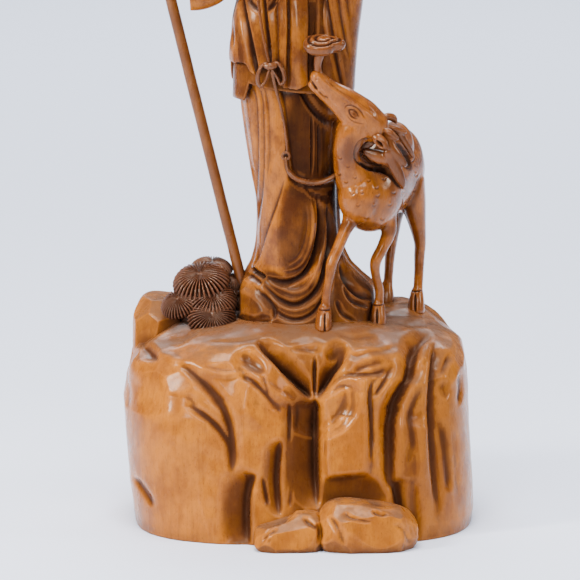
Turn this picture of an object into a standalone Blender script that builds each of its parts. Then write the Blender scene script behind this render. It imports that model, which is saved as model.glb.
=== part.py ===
"""Boxwood immortal figure.

A robed immortal stands on a carved rock between pine tufts and a deer, and holds a straight staff.
The rock, pines, figure and deer are one carving. The staff is a rod of its own.
"""
import math

import bmesh
import bpy
import numpy as np
from mathutils import Vector

# Driving dimensions, in metres
FIGURE_HEIGHT = 0.342
ROCK_HEIGHT = 0.117
ROCK_WIDTH = 0.200
ROCK_DEPTH = 0.168
STAFF_DIAMETER = 0.0063
STAFF_KNOP_DIAMETER = 0.0105
STAFF_RISE = 0.302
SOCKET_DEPTH = 0.008
FIT_GAP = 0.0003
VOXEL = 0.0015
CARVING_TRIANGLES = 9300

# The carving is laid out in small units, 600 of them to the figure's own height.
# Heights count from the rock's underside, and the rock's flat top is at 205.
FIGURE_UNITS = 600.0
ROCK_TOP_UNITS = 205.0
ROCK_WIDTH_UNITS = 350.0
ROCK_DEPTH_UNITS = 295.0
UNIT = FIGURE_HEIGHT / FIGURE_UNITS
# The narrowest side of a cut and the thinnest limb that the solid's facets can hold
NARROWEST_CUT = 4.0
THINNEST_LIMB = 2.8

# Relief is laid out on a front drawing, 580 units square, seen from 10 degrees above.
DRAWING_CENTRE = 290.0
DRAWING_AIM = np.array([-7.0, 0.0, 229.0])
DRAWING_DISTANCE = 4561.0
DRAWING_PITCH = math.radians(10)
TOWARDS_VIEWER = np.array([0.0, -math.cos(DRAWING_PITCH), math.sin(DRAWING_PITCH)])


def clear_scene():
    """Remove every object, so that the script starts from an empty scene."""
    for item in list(bpy.data.objects):
        bpy.data.objects.remove(item, do_unlink=True)


def place_on_rock(points):
    """Figure units to metres: what stands on the rock rises and sinks with its top."""
    rise = ROCK_HEIGHT + (points[..., 2] - ROCK_TOP_UNITS) * UNIT
    return np.stack([points[..., 0] * UNIT, points[..., 1] * UNIT, rise], axis=-1)


def place_rock(points):
    """Rock units to metres, by the rock's own width, depth and height."""
    size = np.array([ROCK_WIDTH / ROCK_WIDTH_UNITS, ROCK_DEPTH / ROCK_DEPTH_UNITS,
                     ROCK_HEIGHT / ROCK_TOP_UNITS])
    return points * size


def front_drawing(points):
    """Where each point shows on the front drawing, as (across, down)."""
    offset = points - DRAWING_AIM
    depth = DRAWING_DISTANCE - offset @ TOWARDS_VIEWER
    scale = DRAWING_DISTANCE / depth
    lift = offset[..., 1] * math.sin(DRAWING_PITCH) + offset[..., 2] * math.cos(DRAWING_PITCH)
    return np.stack([DRAWING_CENTRE + offset[..., 0] * scale, DRAWING_CENTRE - lift * scale], axis=-1)


def elevation(points):
    """A square-on front view, as (x, minus height), for what the front drawing doesn't reach."""
    return np.stack([points[..., 0], -points[..., 2]], axis=-1)


def on_drawing(across, down, y):
    """The point at depth y that shows at a place of the front drawing."""
    x, z = across - DRAWING_CENTRE + DRAWING_AIM[0], DRAWING_AIM[2] + DRAWING_CENTRE - down
    for _ in range(12):
        place = front_drawing(np.array([x, y, z]))
        x += across - place[0]
        z -= down - place[1]
    return x, y, z


def drawn_rows(rows):
    """Rows given by places on the drawing, as points of the figure with their half sizes."""
    return [(*on_drawing(across, down, y), *sizes) for across, down, y, *sizes in rows]


def smooth_curve(points, count):
    """A Catmull-Rom curve through the points, read at count even steps."""
    points = np.asarray(points, float)
    ends = np.vstack([2 * points[0] - points[1], points, 2 * points[-1] - points[-2]])
    steps = np.linspace(0, len(points) - 1, count)
    first = np.minimum(steps.astype(int), len(points) - 2)
    t = (steps - first)[:, None]
    a, b, c, d = (ends[first + k] for k in range(4))
    return 0.5 * (2 * b + (c - a) * t + (2 * a - 5 * b + 4 * c - d) * t ** 2
                  + (3 * b - a - 3 * c + d) * t ** 3)


def smooth_step(value, low, high):
    """0 below low, 1 above high, and an easy rise between."""
    t = np.clip((value - low) / (high - low), 0, 1)
    return t * t * (3 - 2 * t)


def grid_normals(grid):
    """Outward normals of a closed grid whose columns run counter-clockwise and whose rows rise."""
    around = np.roll(grid, -1, axis=1) - np.roll(grid, 1, axis=1)
    normals = np.cross(around, np.gradient(grid, axis=0))
    length = np.linalg.norm(normals, axis=-1, keepdims=True)
    return normals / np.maximum(length, 1e-9)


def groove_depth(places, groove):
    """How deep a groove (points, left width, right width, depth) cuts at places of the drawing.

    Left and right are the viewer's, on a groove that runs down the drawing.
    """
    points, left, right, depth = groove
    line = smooth_curve(points, 5 * len(points))
    reach = max(left, right)
    cut = np.zeros(len(places))
    near = np.all((places > line.min(axis=0) - reach) & (places < line.max(axis=0) + reach), axis=1)
    if not near.any():
        return cut
    spots = places[near]
    nearest = np.full(len(spots), 1e9)
    side = np.zeros(len(spots))
    share = np.zeros(len(spots))
    for index, (start, end) in enumerate(zip(line[:-1], line[1:])):
        edge = end - start
        t = np.clip((spots - start) @ edge / (edge @ edge), 0, 1)
        off = spots - start - t[:, None] * edge
        distance = np.hypot(off[:, 0], off[:, 1])
        closer = distance < nearest
        nearest[closer] = distance[closer]
        side[closer] = (edge[0] * off[:, 1] - edge[1] * off[:, 0])[closer]
        share[closer] = ((index + t) / (len(line) - 1))[closer]
    width = np.maximum(np.where(side > 0, left, right), NARROWEST_CUT)
    taper = np.clip(1 - np.abs(2 * share - 1) ** 6, 0.0, 1)
    fall = np.clip(1 - nearest / width, 0, 1)
    cut[near] = depth * taper * fall * fall * (3 - 2 * fall)
    return cut


def hollow_depth(places, hollow):
    """How deep an oval hollow (centre, half sizes, turn in degrees, depth) cuts at places."""
    centre, half, turn, depth = hollow
    off = places - np.array(centre)
    c, s = math.cos(math.radians(turn)), math.sin(math.radians(turn))
    u = (off[:, 0] * c + off[:, 1] * s) / half[0]
    v = (off[:, 1] * c - off[:, 0] * s) / half[1]
    return depth * np.clip(1 - (u * u + v * v), 0, 1) ** 0.8


def carve(grid, grooves, hollows=(), view=front_drawing):
    """Sink the grooves and hollows of a drawing into the side of a grid that faces the viewer.

    A negative depth raises.
    """
    normals = grid_normals(grid)
    facing = smooth_step(normals @ TOWARDS_VIEWER, 0.0, 0.3).ravel()
    places = view(grid).reshape(-1, 2)
    sunk = np.zeros(len(places))
    raised = np.zeros(len(places))
    for groove in grooves:
        depth = groove_depth(places, groove)
        sunk = np.maximum(sunk, depth)
        raised = np.minimum(raised, depth)
    for hollow in hollows:
        depth = hollow_depth(places, hollow)
        sunk = np.maximum(sunk, depth)
        raised = np.minimum(raised, depth)
    move = ((sunk + raised) * facing).reshape(grid.shape[:2])
    return grid - normals * move[..., None]


def add_grid(shapes, grid):
    """Close a grid of rows by a point at each end, and add it to the shapes to be joined."""
    rows, columns = grid.shape[:2]
    points = np.vstack([grid.reshape(-1, 3), grid[0].mean(axis=0), grid[-1].mean(axis=0)])
    bottom, top = rows * columns, rows * columns + 1
    faces = []
    for row in range(rows - 1):
        for column in range(columns):
            following = (column + 1) % columns
            faces.append((row * columns + column, row * columns + following,
                          (row + 1) * columns + following, (row + 1) * columns + column))
    for column in range(columns):
        following = (column + 1) % columns
        faces.append((following, column, bottom))
        faces.append(((rows - 1) * columns + column, (rows - 1) * columns + following, top))
    shapes.append((points, faces))


def limb(rows, sides=16, rings=22, reference=(0.0, 1.0, 0.0), cuff=0.0):
    """A tube along rows of (x, y, z, half width, half depth), with domed ends or a hollow cuff.

    The half depth lies towards the reference direction, and the half width across it.
    """
    curve = smooth_curve(rows, rings)
    centre, half = curve[:, :3], np.maximum(curve[:, 3:], THINNEST_LIMB)
    along = np.gradient(centre, axis=0)
    along /= np.linalg.norm(along, axis=1, keepdims=True)
    across = np.cross(along, np.array(reference))
    across /= np.linalg.norm(across, axis=1, keepdims=True)
    deep = np.cross(across, along)
    angles = np.linspace(0, 2 * math.pi, sides, endpoint=False)
    circle = np.stack([np.cos(angles), np.sin(angles)], axis=1)

    def ring(index, share, shift):
        u = across[index] * half[index, 0] * share
        v = -deep[index] * half[index, 1] * share
        return centre[index] + along[index] * shift + circle[:, :1] * u + circle[:, 1:] * v

    dome = [math.radians(a) for a in (75, 50, 25)]
    start_radius = half[0].min()
    end_radius = half[-1].min()
    grid = [ring(0, math.cos(a), -math.sin(a) * start_radius) for a in dome]
    grid += [ring(i, 1.0, 0.0) for i in range(rings)]
    if cuff:
        grid += [ring(-1, 0.86, 0.0), ring(-1, 0.76, -cuff), ring(-1, 0.3, -cuff)]
    else:
        grid += [ring(-1, math.cos(a), math.sin(a) * end_radius) for a in reversed(dome)]
    return np.array(grid)


def outline(angles, left, right, front, back, squareness):
    """Points of a squarish outline with its own half size on each of its four sides."""
    c, s = np.cos(angles), np.sin(angles)
    wide = np.where(c < 0, left, right)
    deep = np.where(s < 0, front, back)
    reach = (np.abs(c / wide) ** squareness + np.abs(s / deep) ** squareness) ** (-1 / squareness)
    return reach * c, reach * s


def shell(rows, columns=64, rings=40, squareness=2.2):
    """A loft of upright sections, each (height, left, right, front, back)."""
    levels = smooth_curve(rows, rings)
    angles = np.linspace(0, 2 * math.pi, columns, endpoint=False)
    grid = []
    for height, left, right, front, back in levels:
        middle = (right - left) / 2
        half = (right + left) / 2
        x, y = outline(angles, half, half, front, back, squareness)
        grid.append(np.stack([x + middle, y, np.full(columns, height)], axis=1))
    return np.array(grid)


def hollow_hem(grid, hem_heights, depth=14.0, wall=0.07):
    """Drop a shell's lowest ring to the hem, and turn its underside up inside it."""
    middle = grid[0].mean(axis=0)
    outer = grid[0].copy()
    outer[:, 2] = hem_heights
    inner = middle + (outer - middle) * (1 - wall)
    inner[:, 2] = hem_heights
    roof = middle + (outer - middle) * (1 - 2.2 * wall)
    roof[:, 2] = hem_heights + depth
    heart = middle + (outer - middle) * 0.3
    heart[:, 2] = hem_heights + depth
    return np.concatenate([[heart, roof, inner, outer], grid[1:]])


# Rock: sections of its side as (height, left, right, front, back)
ROCK_SIDE = [
    (-8, 160, 173, 141, 148), (15, 163, 176, 140, 148), (45, 168, 176, 137, 147), (80, 171, 174, 133, 146),
    (120, 175, 170, 128, 144), (150, 171, 168, 122, 141), (185, 160, 164, 112, 138),
]
# Height at which the side turns into the top, for directions from the right side by the back
ROCK_SHOULDER_DEGREES = [0, 40, 90, 135, 158, 176, 190, 205, 235, 270, 300, 335, 360]
ROCK_SHOULDER_HEIGHTS = [168, 182, 172, 186, 192, 170, 152, 146, 140, 130, 124, 142, 168]
ROCK_LUMPS = [
    (-142, 60, 30, 14), (-120, 30, 22, 5), (122, 44, 30, 6), (112, 84, 30, 8),
    (20, 105, 60, 6), (-60, 100, 40, 5), (-30, -66, 30, 4), (62, -66, 30, 4), (26, -76, 30, 7),
]
ROCK_GROOVES = [
    ([(257, 341), (275, 355), (290, 372), (303, 388), (312, 401)], 7, 12, 24),
    ([(345, 344), (340, 358), (332, 370), (324, 385), (316, 402)], 11, 6, 20),
    ([(316, 396), (315.5, 418), (315.5, 447), (316, 477), (318, 510)], 31, 7, 22),
    ([(312, 404), (310, 430), (309.5, 460), (311, 500)], 5, 4, 6),
    ([(178, 363), (202, 385), (214, 399), (223, 412), (229, 433), (232, 455), (231, 482)], 3, 12, 9),
    ([(185, 403), (202, 415), (214, 425), (223, 436), (229, 450), (230, 480)], 3, 6, 8),
    ([(241, 377), (252, 382), (264, 394), (273, 405), (281, 412)], 2.0, 6, 6),
    ([(141, 346), (149, 351), (158, 360)], 5, 7, 6),
    ([(133, 476), (142, 490), (153, 507)], 3, 7, 5),
    ([(281, 440), (278, 462), (277, 485), (280, 516)], 17, 5, 12),
    ([(259, 474), (250, 485), (247, 505), (249, 528), (252, 548)], 26, 5, 17),
    ([(322, 498), (345, 500), (368, 499), (390, 494)], 8, 26, 12),
    ([(372, 380), (369, 394), (370, 411), (371.5, 435), (370, 463)], 3, 3.5, 11),
    ([(393, 364), (384, 381), (373, 398)], 2.5, 4, 9),
    ([(352, 371), (366, 365), (384, 362)], 5, 2, 5),
    ([(344, 375), (363, 374), (379, 371), (388, 366)], 4, 2.5, 6),
    ([(432, 333), (420, 343), (416, 358), (414, 373), (406, 390), (398, 408), (394, 424), (393, 470),
      (394, 500)], 20, 5, 20),
    ([(433, 341), (434, 363), (433, 387), (432, 411), (433, 435), (435, 469), (437, 516)], 4, 12, 13),
    ([(421, 388), (414, 402), (409, 416), (411, 432), (415, 452)], 2.5, 4, 6),
    ([(444, 380), (447, 389), (446, 399)], 3.5, 3.5, 5),
    ([(439, 413), (445, 441), (448, 470), (449, 492)], 3, 5, 8),
    ([(396, 478), (399, 498), (404, 520), (408, 543)], 8, 16, 18),
    ([(289, 403), (289, 445)], 4, 4, 7),
]
ROCK_HOLLOWS = [
    ((337, 352), (13, 11), -30, 13), ((253, 363), (17, 8.5), 40, 5), ((150, 354), (9, 8), 0, 5),
    ((411, 512), (14, 34), 0, 10), ((372, 356), (26, 16), 0, -6), ((348, 438), (30, 62), 0, -7),
    ((300, 366), (20, 22), 0, -4), ((423, 352), (9, 11), 0, -6), ((170, 440), (46, 78), 0, -6),
    ((402, 440), (8, 50), 4, -4),
]
ROCK_HIDDEN_GROOVES = 11
ROCK_SQUARENESS = 2.9
ROCK_UNDERSIDE_SHARES = (0.3, 0.6)


def rock_grid(columns, side_rows, top_rows):
    """The rock as rows from under its foot, up its side and over its top to the middle."""
    angles = np.linspace(0, 2 * math.pi, columns, endpoint=False)
    degrees = np.degrees(angles)
    shoulder = np.mean([np.interp((degrees + spread) % 360, ROCK_SHOULDER_DEGREES, ROCK_SHOULDER_HEIGHTS)
                        for spread in np.linspace(-12, 12, 9)], axis=0)
    table = np.array(ROCK_SIDE, float)
    low = table[0, 0]

    def ring(heights, share):
        sides = [np.interp(heights, table[:, 0], table[:, k]) for k in range(1, 5)]
        x, y = outline(angles, *sides, ROCK_SQUARENESS)
        return np.stack([x * share, y * share, heights], axis=1)

    grid = [ring(np.full(columns, low), share) for share in ROCK_UNDERSIDE_SHARES]
    for t in np.linspace(0, 1, side_rows):
        grid.append(ring(low + (shoulder - low) * t, 1.0))
    for t in np.linspace(0, 1, top_rows + 2)[1:-1]:
        share = math.cos(t * math.pi / 2) ** (2 / 2.5)
        rise = math.sin(t * math.pi / 2) ** (2 / 2.5)
        grid.append(ring(shoulder, share) + np.stack(
            [np.zeros(columns), np.zeros(columns), (ROCK_TOP_UNITS + 1 - shoulder) * rise], axis=1))
    return np.array(grid)


def rock(columns=180, side_rows=44, top_rows=30):
    """The rock with its lumps, its front relief and plainer upright cuts on its hidden sides."""
    grid = rock_grid(columns, side_rows, top_rows)
    upper = smooth_step(grid[..., 2], 120, 190)
    for x, y, radius, height in ROCK_LUMPS:
        spread = ((grid[..., 0] - x) ** 2 + (grid[..., 1] - y) ** 2) / radius ** 2
        grid[..., 2] += upper * height * np.exp(-spread)
    normals = grid_normals(grid)
    outward = normals[..., :2] / np.maximum(np.linalg.norm(normals[..., :2], axis=-1, keepdims=True), 1e-6)
    hidden = smooth_step(outward[..., 1], -0.15, 0.25)
    angle = np.arctan2(grid[..., 1], grid[..., 0])
    height = grid[..., 2]
    wander = 0.07 * np.sin(height / 44.0) + 0.03 * np.sin(height / 17.0 + 2.0)
    wave = (angle + wander) * ROCK_HIDDEN_GROOVES / (2 * math.pi)
    deepness = 8.0 + 5.0 * np.sin(height / 38.0 + 2.5 * angle)
    cut = deepness * np.clip(1 - np.abs((wave % 1.0) - 0.5) * 5.0, 0, 1) ** 1.2
    facets = 3.0 * np.sin(3 * angle + height / 27.0) + 2.2 * np.sin(7 * angle - height / 19.0)
    on_side = 1 - smooth_step(height, 172, 205)
    on_side[:len(ROCK_UNDERSIDE_SHARES)] = 0.0
    grid[..., :2] -= outward * (hidden * on_side * (cut + facets))[..., None]
    return carve(grid, ROCK_GROOVES, ROCK_HOLLOWS)


# Stones in front of the rock and on its left corner:
# (middle x, y, foot z, half width, half depth, height, tilt of the top)
STONES = [
    (-7, -150, 0, 38, 26, 30, 0.20),
    (66, -146, 0, 49, 32, 45, -0.07),
    (-132, 30, 150, 32, 46, 69, -0.05),
]
STONE_SQUARENESS = 2.6


def stone(x, y, foot, half_width, half_depth, height, tilt, columns=48, rings=20):
    """A water-worn stone: upright sides, rounded shoulders and a nearly flat top."""
    angles = np.linspace(0, 2 * math.pi, columns, endpoint=False)
    grid = []
    for t in np.linspace(0.02, 0.98, rings):
        turn = (t - 0.42) * math.pi / 1.16
        share = max(math.cos(turn), 0.02) ** 0.5
        level = math.copysign(abs(math.sin(turn)) ** 0.75, turn)
        px, py = outline(angles, half_width, half_width, half_depth, half_depth, STONE_SQUARENESS)
        lump = 1 + 0.05 * np.sin(3 * angles + 1.0 + 2 * t) + 0.03 * np.sin(5 * angles + 4 * t)
        z = foot + height * (0.42 + 0.58 * level) + tilt * px * max(level, 0)
        grid.append(np.stack([x + px * share * lump, y + py * share * lump, z], axis=1))
    return np.array(grid)


# Pine tufts: (apex x, y, z, radius, lean towards the viewer, lean to the right), leans in degrees
PINE_TUFTS = [
    (-85, 14, 256, 20, 14, 4), (-97, -8, 247, 27, 30, -8), (-119, -20, 224, 19, 34, -22),
    (-84, -22, 229, 24, 36, 4), (-84, -38, 212, 23, 46, 4), (-68, 6, 242, 15, 26, 26),
    (-61, -6, 224, 13, 34, 34),
]
PINE_RIBS = 18
PINE_CORE = [(-94, 6, 190, 26, 26), (-92, 4, 212, 22, 20), (-90, 6, 234, 12, 12)]


def pine_tuft(x, y, z, radius, lean_front, lean_right, columns=72, rings=9, rib=0.07):
    """A bundle of needles: a shallow dome, ribbed from its apex to its rim, hollow below."""
    angles = np.linspace(0, 2 * math.pi, columns, endpoint=False)
    ribs = rib * np.cos(PINE_RIBS * angles)
    circle = np.stack([np.cos(angles), np.sin(angles)], axis=1)
    grid = []
    for share, depth in ((0.35, 0.5), (0.7, 0.62)):
        grid.append(np.column_stack([radius * share * circle, np.full(columns, -depth * radius)]))
    for t in np.linspace(1, 0.06, rings):
        reach = radius * math.sin(t * math.pi / 2) ** 0.85 * (1 + ribs * t)
        drop = 0.72 * radius * (1 - math.cos(t * math.pi / 2))
        grid.append(np.column_stack([reach[:, None] * circle, -drop + radius * ribs * t]))
    grid = np.array(grid)
    front, right = math.radians(lean_front), math.radians(lean_right)
    turn_front = np.array([[1, 0, 0], [0, math.cos(front), -math.sin(front)],
                           [0, math.sin(front), math.cos(front)]])
    turn_right = np.array([[math.cos(right), 0, math.sin(right)], [0, 1, 0],
                           [-math.sin(right), 0, math.cos(right)]])
    return grid @ (turn_right @ turn_front).T + np.array([x, y, z])


# Robe: sections as (height, left, right, front, back), measured from the figure's axis
SKIRT = [
    (196, 62, 80, 60, 62), (206, 61, 79, 62, 62), (220, 58, 79, 57, 60), (234, 57, 76, 51, 57),
    (249, 49, 61, 46, 53), (262, 43, 50, 43, 49), (285, 39, 42, 42, 45), (325, 40, 40, 42, 42),
    (356, 45, 41, 42, 42), (396, 51, 43, 41, 42), (432, 55, 46, 40, 42), (480, 55, 45, 38, 40),
    (530, 50, 41, 35, 37),
]
COAT = [
    (452, 66, 46, 46, 46), (470, 67, 47, 45, 45), (500, 64, 46, 42, 43), (526, 58, 43, 38, 40),
    (560, 55, 46, 38, 41), (600, 58, 53, 38, 43), (636, 59, 58, 34, 41), (656, 46, 46, 28, 34),
    (668, 32, 30, 22, 26), (678, 23, 15, 17, 19), (683, 20, 11, 13, 16),
]
INNER_COAT = [(440, 64, 44, 43, 44), (470, 64, 44, 42, 43), (500, 60, 43, 39, 41)]
# Hems in front, as places of the drawing across and down, and the height of the rest behind
COAT_HEM = [(222, 58), (227, 62), (235, 66), (238, 60), (244, 62), (250, 72), (256, 76), (264, 62),
            (272, 66), (283, 87), (297, 89), (311, 83), (330, 88), (350, 90)]
INNER_HEM = [(222, 98), (233, 101), (243, 102), (248, 84), (262, 88), (300, 93), (350, 96)]
COAT_BACK_HEM, INNER_BACK_HEM = 440, 428
SKIRT_GROOVES = [
    ([(251, 84), (256, 103), (257, 163), (255, 206), (252, 240)], 5, 2.5, 2.6),
    ([(258, 84), (262.5, 103), (263, 163), (260, 205), (257, 226)], 3.5, 2.5, 2.4),
    ([(285, 178), (277, 206), (268, 232), (259, 256), (250, 268)], 11, 2, 4.5),
    ([(276, 90), (284, 117), (287, 141), (289, 153)], 5, 4, 5),
    ([(299, 86), (316, 111), (330, 124), (329, 150), (328, 174)], 10, 2.5, 9),
    ([(314, 112), (314, 140), (313, 174)], 4, 3, 5),
    ([(322, 122), (323, 150), (322, 176)], 3, 4, 3),
    ([(287, 176), (300, 185), (315, 188), (334, 184)], 2.5, 9, 7),
    ([(303, 187), (315, 196), (330, 202)], 2, 3, 4),
    ([(317, 198), (320, 217), (318, 240), (311, 262), (300, 275), (284, 281), (266, 277)], 3, 8, 10),
    ([(266, 277), (254, 270), (246, 262)], 3, 10, 8),
    ([(328, 205), (331, 232), (327, 258), (317, 288), (298, 303), (280, 299), (262, 284)], 3, 6, 7),
    ([(262, 284), (252, 276), (243, 270)], 3, 7, 6),
    ([(334, 262), (327, 290), (313, 312), (296, 319), (279, 313), (262, 295), (247, 277)], 2.5, 5, 4),
    ([(328, 206), (329, 228), (328, 250)], 3, 3, 6),
    ([(262, 290), (267, 299), (274, 309)], 2.5, 4, 4),
    ([(236, 318), (254, 325), (272, 319)], 2, 4, 3),
    ([(340, 262), (345, 280), (357, 294), (372, 300)], 3, 8, 7),
    ([(344, 286), (352, 300), (368, 308)], 3, 5, 5),
    ([(336, 300), (343, 314), (356, 322)], 3, 4, 4),
    ([(311, 200), (313.5, 217), (311, 241), (303, 262), (290, 270), (274, 270)], 5, 3.5, -2.4),
]
SKIRT_HOLLOWS = [
    ((286, 236), (34, 56), 6, -6),
    ((302, 135), (18, 46), 0, 5),
    ((250, 306), (20, 26), 0, -7),
    ((300, 274), (13, 20), 40, 3),
]
COAT_GROOVES = [
    ([(236, -40), (240, 0), (246, 35), (252, 66)], 5, 3, 8),
    ([(228, -30), (230, 10), (233, 50)], 4, 3, 3),
    ([(262, -20), (266, 20), (269, 45), (271, 66)], 4, 4, 8),
    ([(276, -20), (278, 30), (278, 80)], 3, 3, 3),
    ([(288, -20), (289, 30), (288, 86)], 2, 3, 3),
    ([(311, -40), (313, 10), (312, 50), (311, 84)], 5, 6, 9),
]
COAT_HOLLOWS = [((299, 40), (12, 60), 0, -4)]
# Square-on cuts of the upper body, as (x, minus height)
CHEST_GROOVES = [
    ([(-24, -682), (-20, -660), (-8, -634), (8, -604), (24, -578)], 5, 5, -3.4),
    ([(13, -680), (10, -662), (3, -640), (-5, -622)], 5, 5, -3.4),
    ([(-44, -640), (-40, -600), (-30, -566)], 6, 5, 4),
    ([(-26, -600), (-18, -576), (-12, -560)], 5, 4, 3.5),
    ([(30, -636), (34, -600), (30, -566)], 5, 5, 4),
]
BACK_FOLDS = 13


def back_folds(grid, depth, low, high):
    """Upright folds on the side of the robe that the front drawing doesn't show."""
    normals = grid_normals(grid)
    hidden = smooth_step(-(normals @ TOWARDS_VIEWER), -0.25, 0.15)
    middle = grid.mean(axis=1, keepdims=True)
    angle = np.arctan2(grid[..., 1] - middle[..., 1], grid[..., 0] - middle[..., 0])
    wander = 0.10 * np.sin(grid[..., 2] / 57.0 + 1.0)
    wave = np.cos((angle + wander) * BACK_FOLDS) + 0.35 * np.cos((angle - wander) * (BACK_FOLDS - 6) + 1)
    reach = smooth_step(grid[..., 2], low, low + 20) * (1 - smooth_step(grid[..., 2], high - 40, high))
    return grid - normals * (hidden * reach * depth * wave)[..., None]


def skirt():
    """The long skirt, down to the train that spreads over the rock."""
    grid = shell(SKIRT, columns=130, rings=90, squareness=2.25)
    grid = back_folds(grid, 3.0, 190, 540)
    return carve(grid, SKIRT_GROOVES, SKIRT_HOLLOWS)


def hem_line(grid, hem, behind):
    """Heights of a hem: the drawn line in front and a level one behind."""
    ring = grid[0]
    y = ring[:, 1]
    places = np.array(hem, float)
    drawn = [on_drawing(across, down, -42.0) for across, down in places]
    line = np.interp(ring[:, 0], [point[0] for point in drawn], [point[2] for point in drawn])
    back = smooth_step(y, -6, 14)
    return line * (1 - back) + behind * back


def coat():
    """The coat from its hem, over the belt and shoulders, to the neck."""
    grid = shell(COAT, columns=110, rings=60, squareness=2.3)
    hem = hem_line(grid, COAT_HEM, COAT_BACK_HEM)
    grid = back_folds(grid, 2.2, 452, 640)
    grid = carve(grid, COAT_GROOVES, COAT_HOLLOWS)
    grid = carve(grid, CHEST_GROOVES, view=elevation)
    return hollow_hem(grid, hem)


def inner_coat():
    """The layer that shows a little below the coat."""
    grid = shell(INNER_COAT, columns=110, rings=14, squareness=2.3)
    return hollow_hem(grid, hem_line(grid, INNER_HEM, INNER_BACK_HEM), depth=10.0)


# Sleeves and arms: rows of (x, y, z, half width, half depth)
RIGHT_SLEEVE = [
    (-40, 0, 628, 26, 24), (-62, -4, 598, 34, 22), (-84, -8, 574, 44, 18), (-100, -9, 562, 50, 15),
    (-110, -9, 560, 49, 13),
]
RIGHT_FOREARM = [(-84, -4, 592, 12, 12), (-112, 0, 598, 10, 10), (-134, 4, 601, 9, 9)]
RIGHT_FIST = [(-134, 6, 601, 13, 13), (-146, 8, 601, 14, 14), (-153, 8, 601, 12, 13)]
LEFT_SLEEVE = [
    (40, 0, 628, 24, 23), (46, -8, 590, 24, 24), (44, -16, 540, 23, 25), (41, -20, 490, 20, 24),
    (39, -22, 456, 19, 23), (38, -22, 436, 19, 22),
]
LEFT_FOREARM = [(46, -14, 560, 14, 14), (30, -34, 556, 13, 12), (10, -44, 560, 11, 10)]
LEFT_HAND = [(12, -46, 560, 10, 8), (0, -50, 562, 10, 7), (-12, -50, 562, 7, 6)]

# Sash: its bow and its swag, as rows of (across, down, y, half width, half depth) on the drawing
BOW_LOOPS = {
    "bow_left": [(270, 66, -52, 2.4, 2.0), (263, 65, -52, 2.8, 2.2), (258.5, 73, -52, 3.0, 2.4),
                 (258.5, 83, -51, 3.2, 2.4), (262.5, 87.5, -50, 3.0, 2.4), (266, 80, -51, 2.4, 2.0),
                 (269, 70, -53, 2.0, 1.8)],
    "bow_right": [(271, 66, -52, 2.4, 2.0), (278, 63, -52, 2.8, 2.2), (283, 70, -52, 3.0, 2.4),
                  (285, 80, -51, 3.0, 2.4), (281, 84, -50, 2.8, 2.2), (277, 77, -51, 2.4, 2.0),
                  (272, 70, -53, 2.0, 1.8)],
}
SWAG = [
    (285, 160, -42, 2.6, 4.0), (286, 168, -44, 3.0, 4.6), (290, 175, -47, 3.2, 5.0),
    (298, 181, -49, 3.4, 5.0), (313, 184, -49, 3.4, 5.0), (325, 181, -47, 3.2, 5.0),
    (338, 174, -42, 3.0, 4.6),
]

# Head, about its own middle: sections as (height, left, right, front, back)
HEAD = [
    (688, 9, 9, 15, 10), (691, 14, 14, 22, 14), (699, 19, 19, 26, 19), (712, 23, 23, 28, 24),
    (722, 26, 26, 28.5, 27), (732, 27.5, 27.5, 28, 29), (744, 28, 28, 28.5, 30), (756, 25, 25, 26, 28),
    (767, 17, 17, 17, 20), (772, 8, 8, 8, 10),
]
HEAD_PLACE = np.array([-5.0, -3.0, 0.0])
NECK = [(-5, 2, 668, 15, 15), (-5, 1, 684, 13.5, 13.5), (-5, 0, 702, 14, 14)]
HAIR = [
    (706, 16, 16, 2, 24), (716, 25, 25, 1, 29), (728, 29.5, 29.5, 4, 32.5), (742, 30.5, 30.5, 16, 34),
    (753, 29, 29, 26.5, 32), (763, 24, 24, 25, 28), (771, 15, 15, 15, 19), (775, 7, 7, 7, 10),
]
HAIR_BUN = [(-5, 4, 770, 10, 10), (-5, 4, 779, 13.5, 13.5), (-5, 4, 788, 12.5, 12.5), (-5, 4, 795, 7, 7)]
HAIR_TIE = [(-5, 4, 769, 12, 12), (-5, 4, 774, 12, 12)]
EAR_ON_HEAD = [(27, 4, 738, 3, 4.5), (27.6, 5, 730, 3.4, 5.4), (27.6, 4, 721, 3.0, 4.4),
               (27, 2.5, 713, 2.8, 3.6), (26, 2, 708, 2.0, 2.4)]
EYELID = [(19, -22, 729, 3, 3), (12, -27, 730, 3, 3.6), (5, -25, 729, 3, 3)]
FACE_PARTS = [
    [(-5, -29, 727, 2.4, 4.0), (-5, -32, 719, 3.2, 5.0), (-5, -33, 714, 4.2, 4.0)],
    [(-11, -28, 704, 2.0, 3.0), (-5, -30, 704, 2.6, 3.0), (1, -28, 704, 2.0, 3.0)],
    [(-8, -25, 694, 4.0, 4.0), (-2, -25, 694, 4.0, 4.0)],
]

# Deer: rows of (x, y, z, half width, half depth)
DEER_BODY = [
    (62, -44, 333, 22, 26), (72, -27, 331, 28, 34), (81, -5, 337, 29, 38), (90, 20, 342, 29, 41),
    (100, 46, 344, 29, 44), (106, 60, 341, 23, 36),
]
DEER_WITHERS = [(76, -18, 362, 17, 20), (86, -2, 372, 19, 22), (97, 24, 370, 20, 26)]
DEER_NECK = [
    (66, -30, 334, 27, 28), (56, -42, 353, 20, 22), (49.5, -49, 370, 14.5, 18), (49, -53, 382, 13.5, 18),
    (54, -55, 396, 16.5, 19), (61, -56, 407, 17, 18),
]
DEER_HEAD = [
    (73, -54, 403, 17, 17), (61, -60, 414, 18, 17.5), (46, -64, 429, 13.5, 14), (33, -67, 440, 9.5, 11),
    (22, -69, 450, 7.5, 9), (19, -69.5, 453, 6.5, 8),
]
DEER_JAW = [(56, -62, 404, 9, 10), (38, -66, 422, 5.5, 7), (19, -68, 440, 4.2, 6), (14, -68.5, 445, 3.8, 5)]
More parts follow.
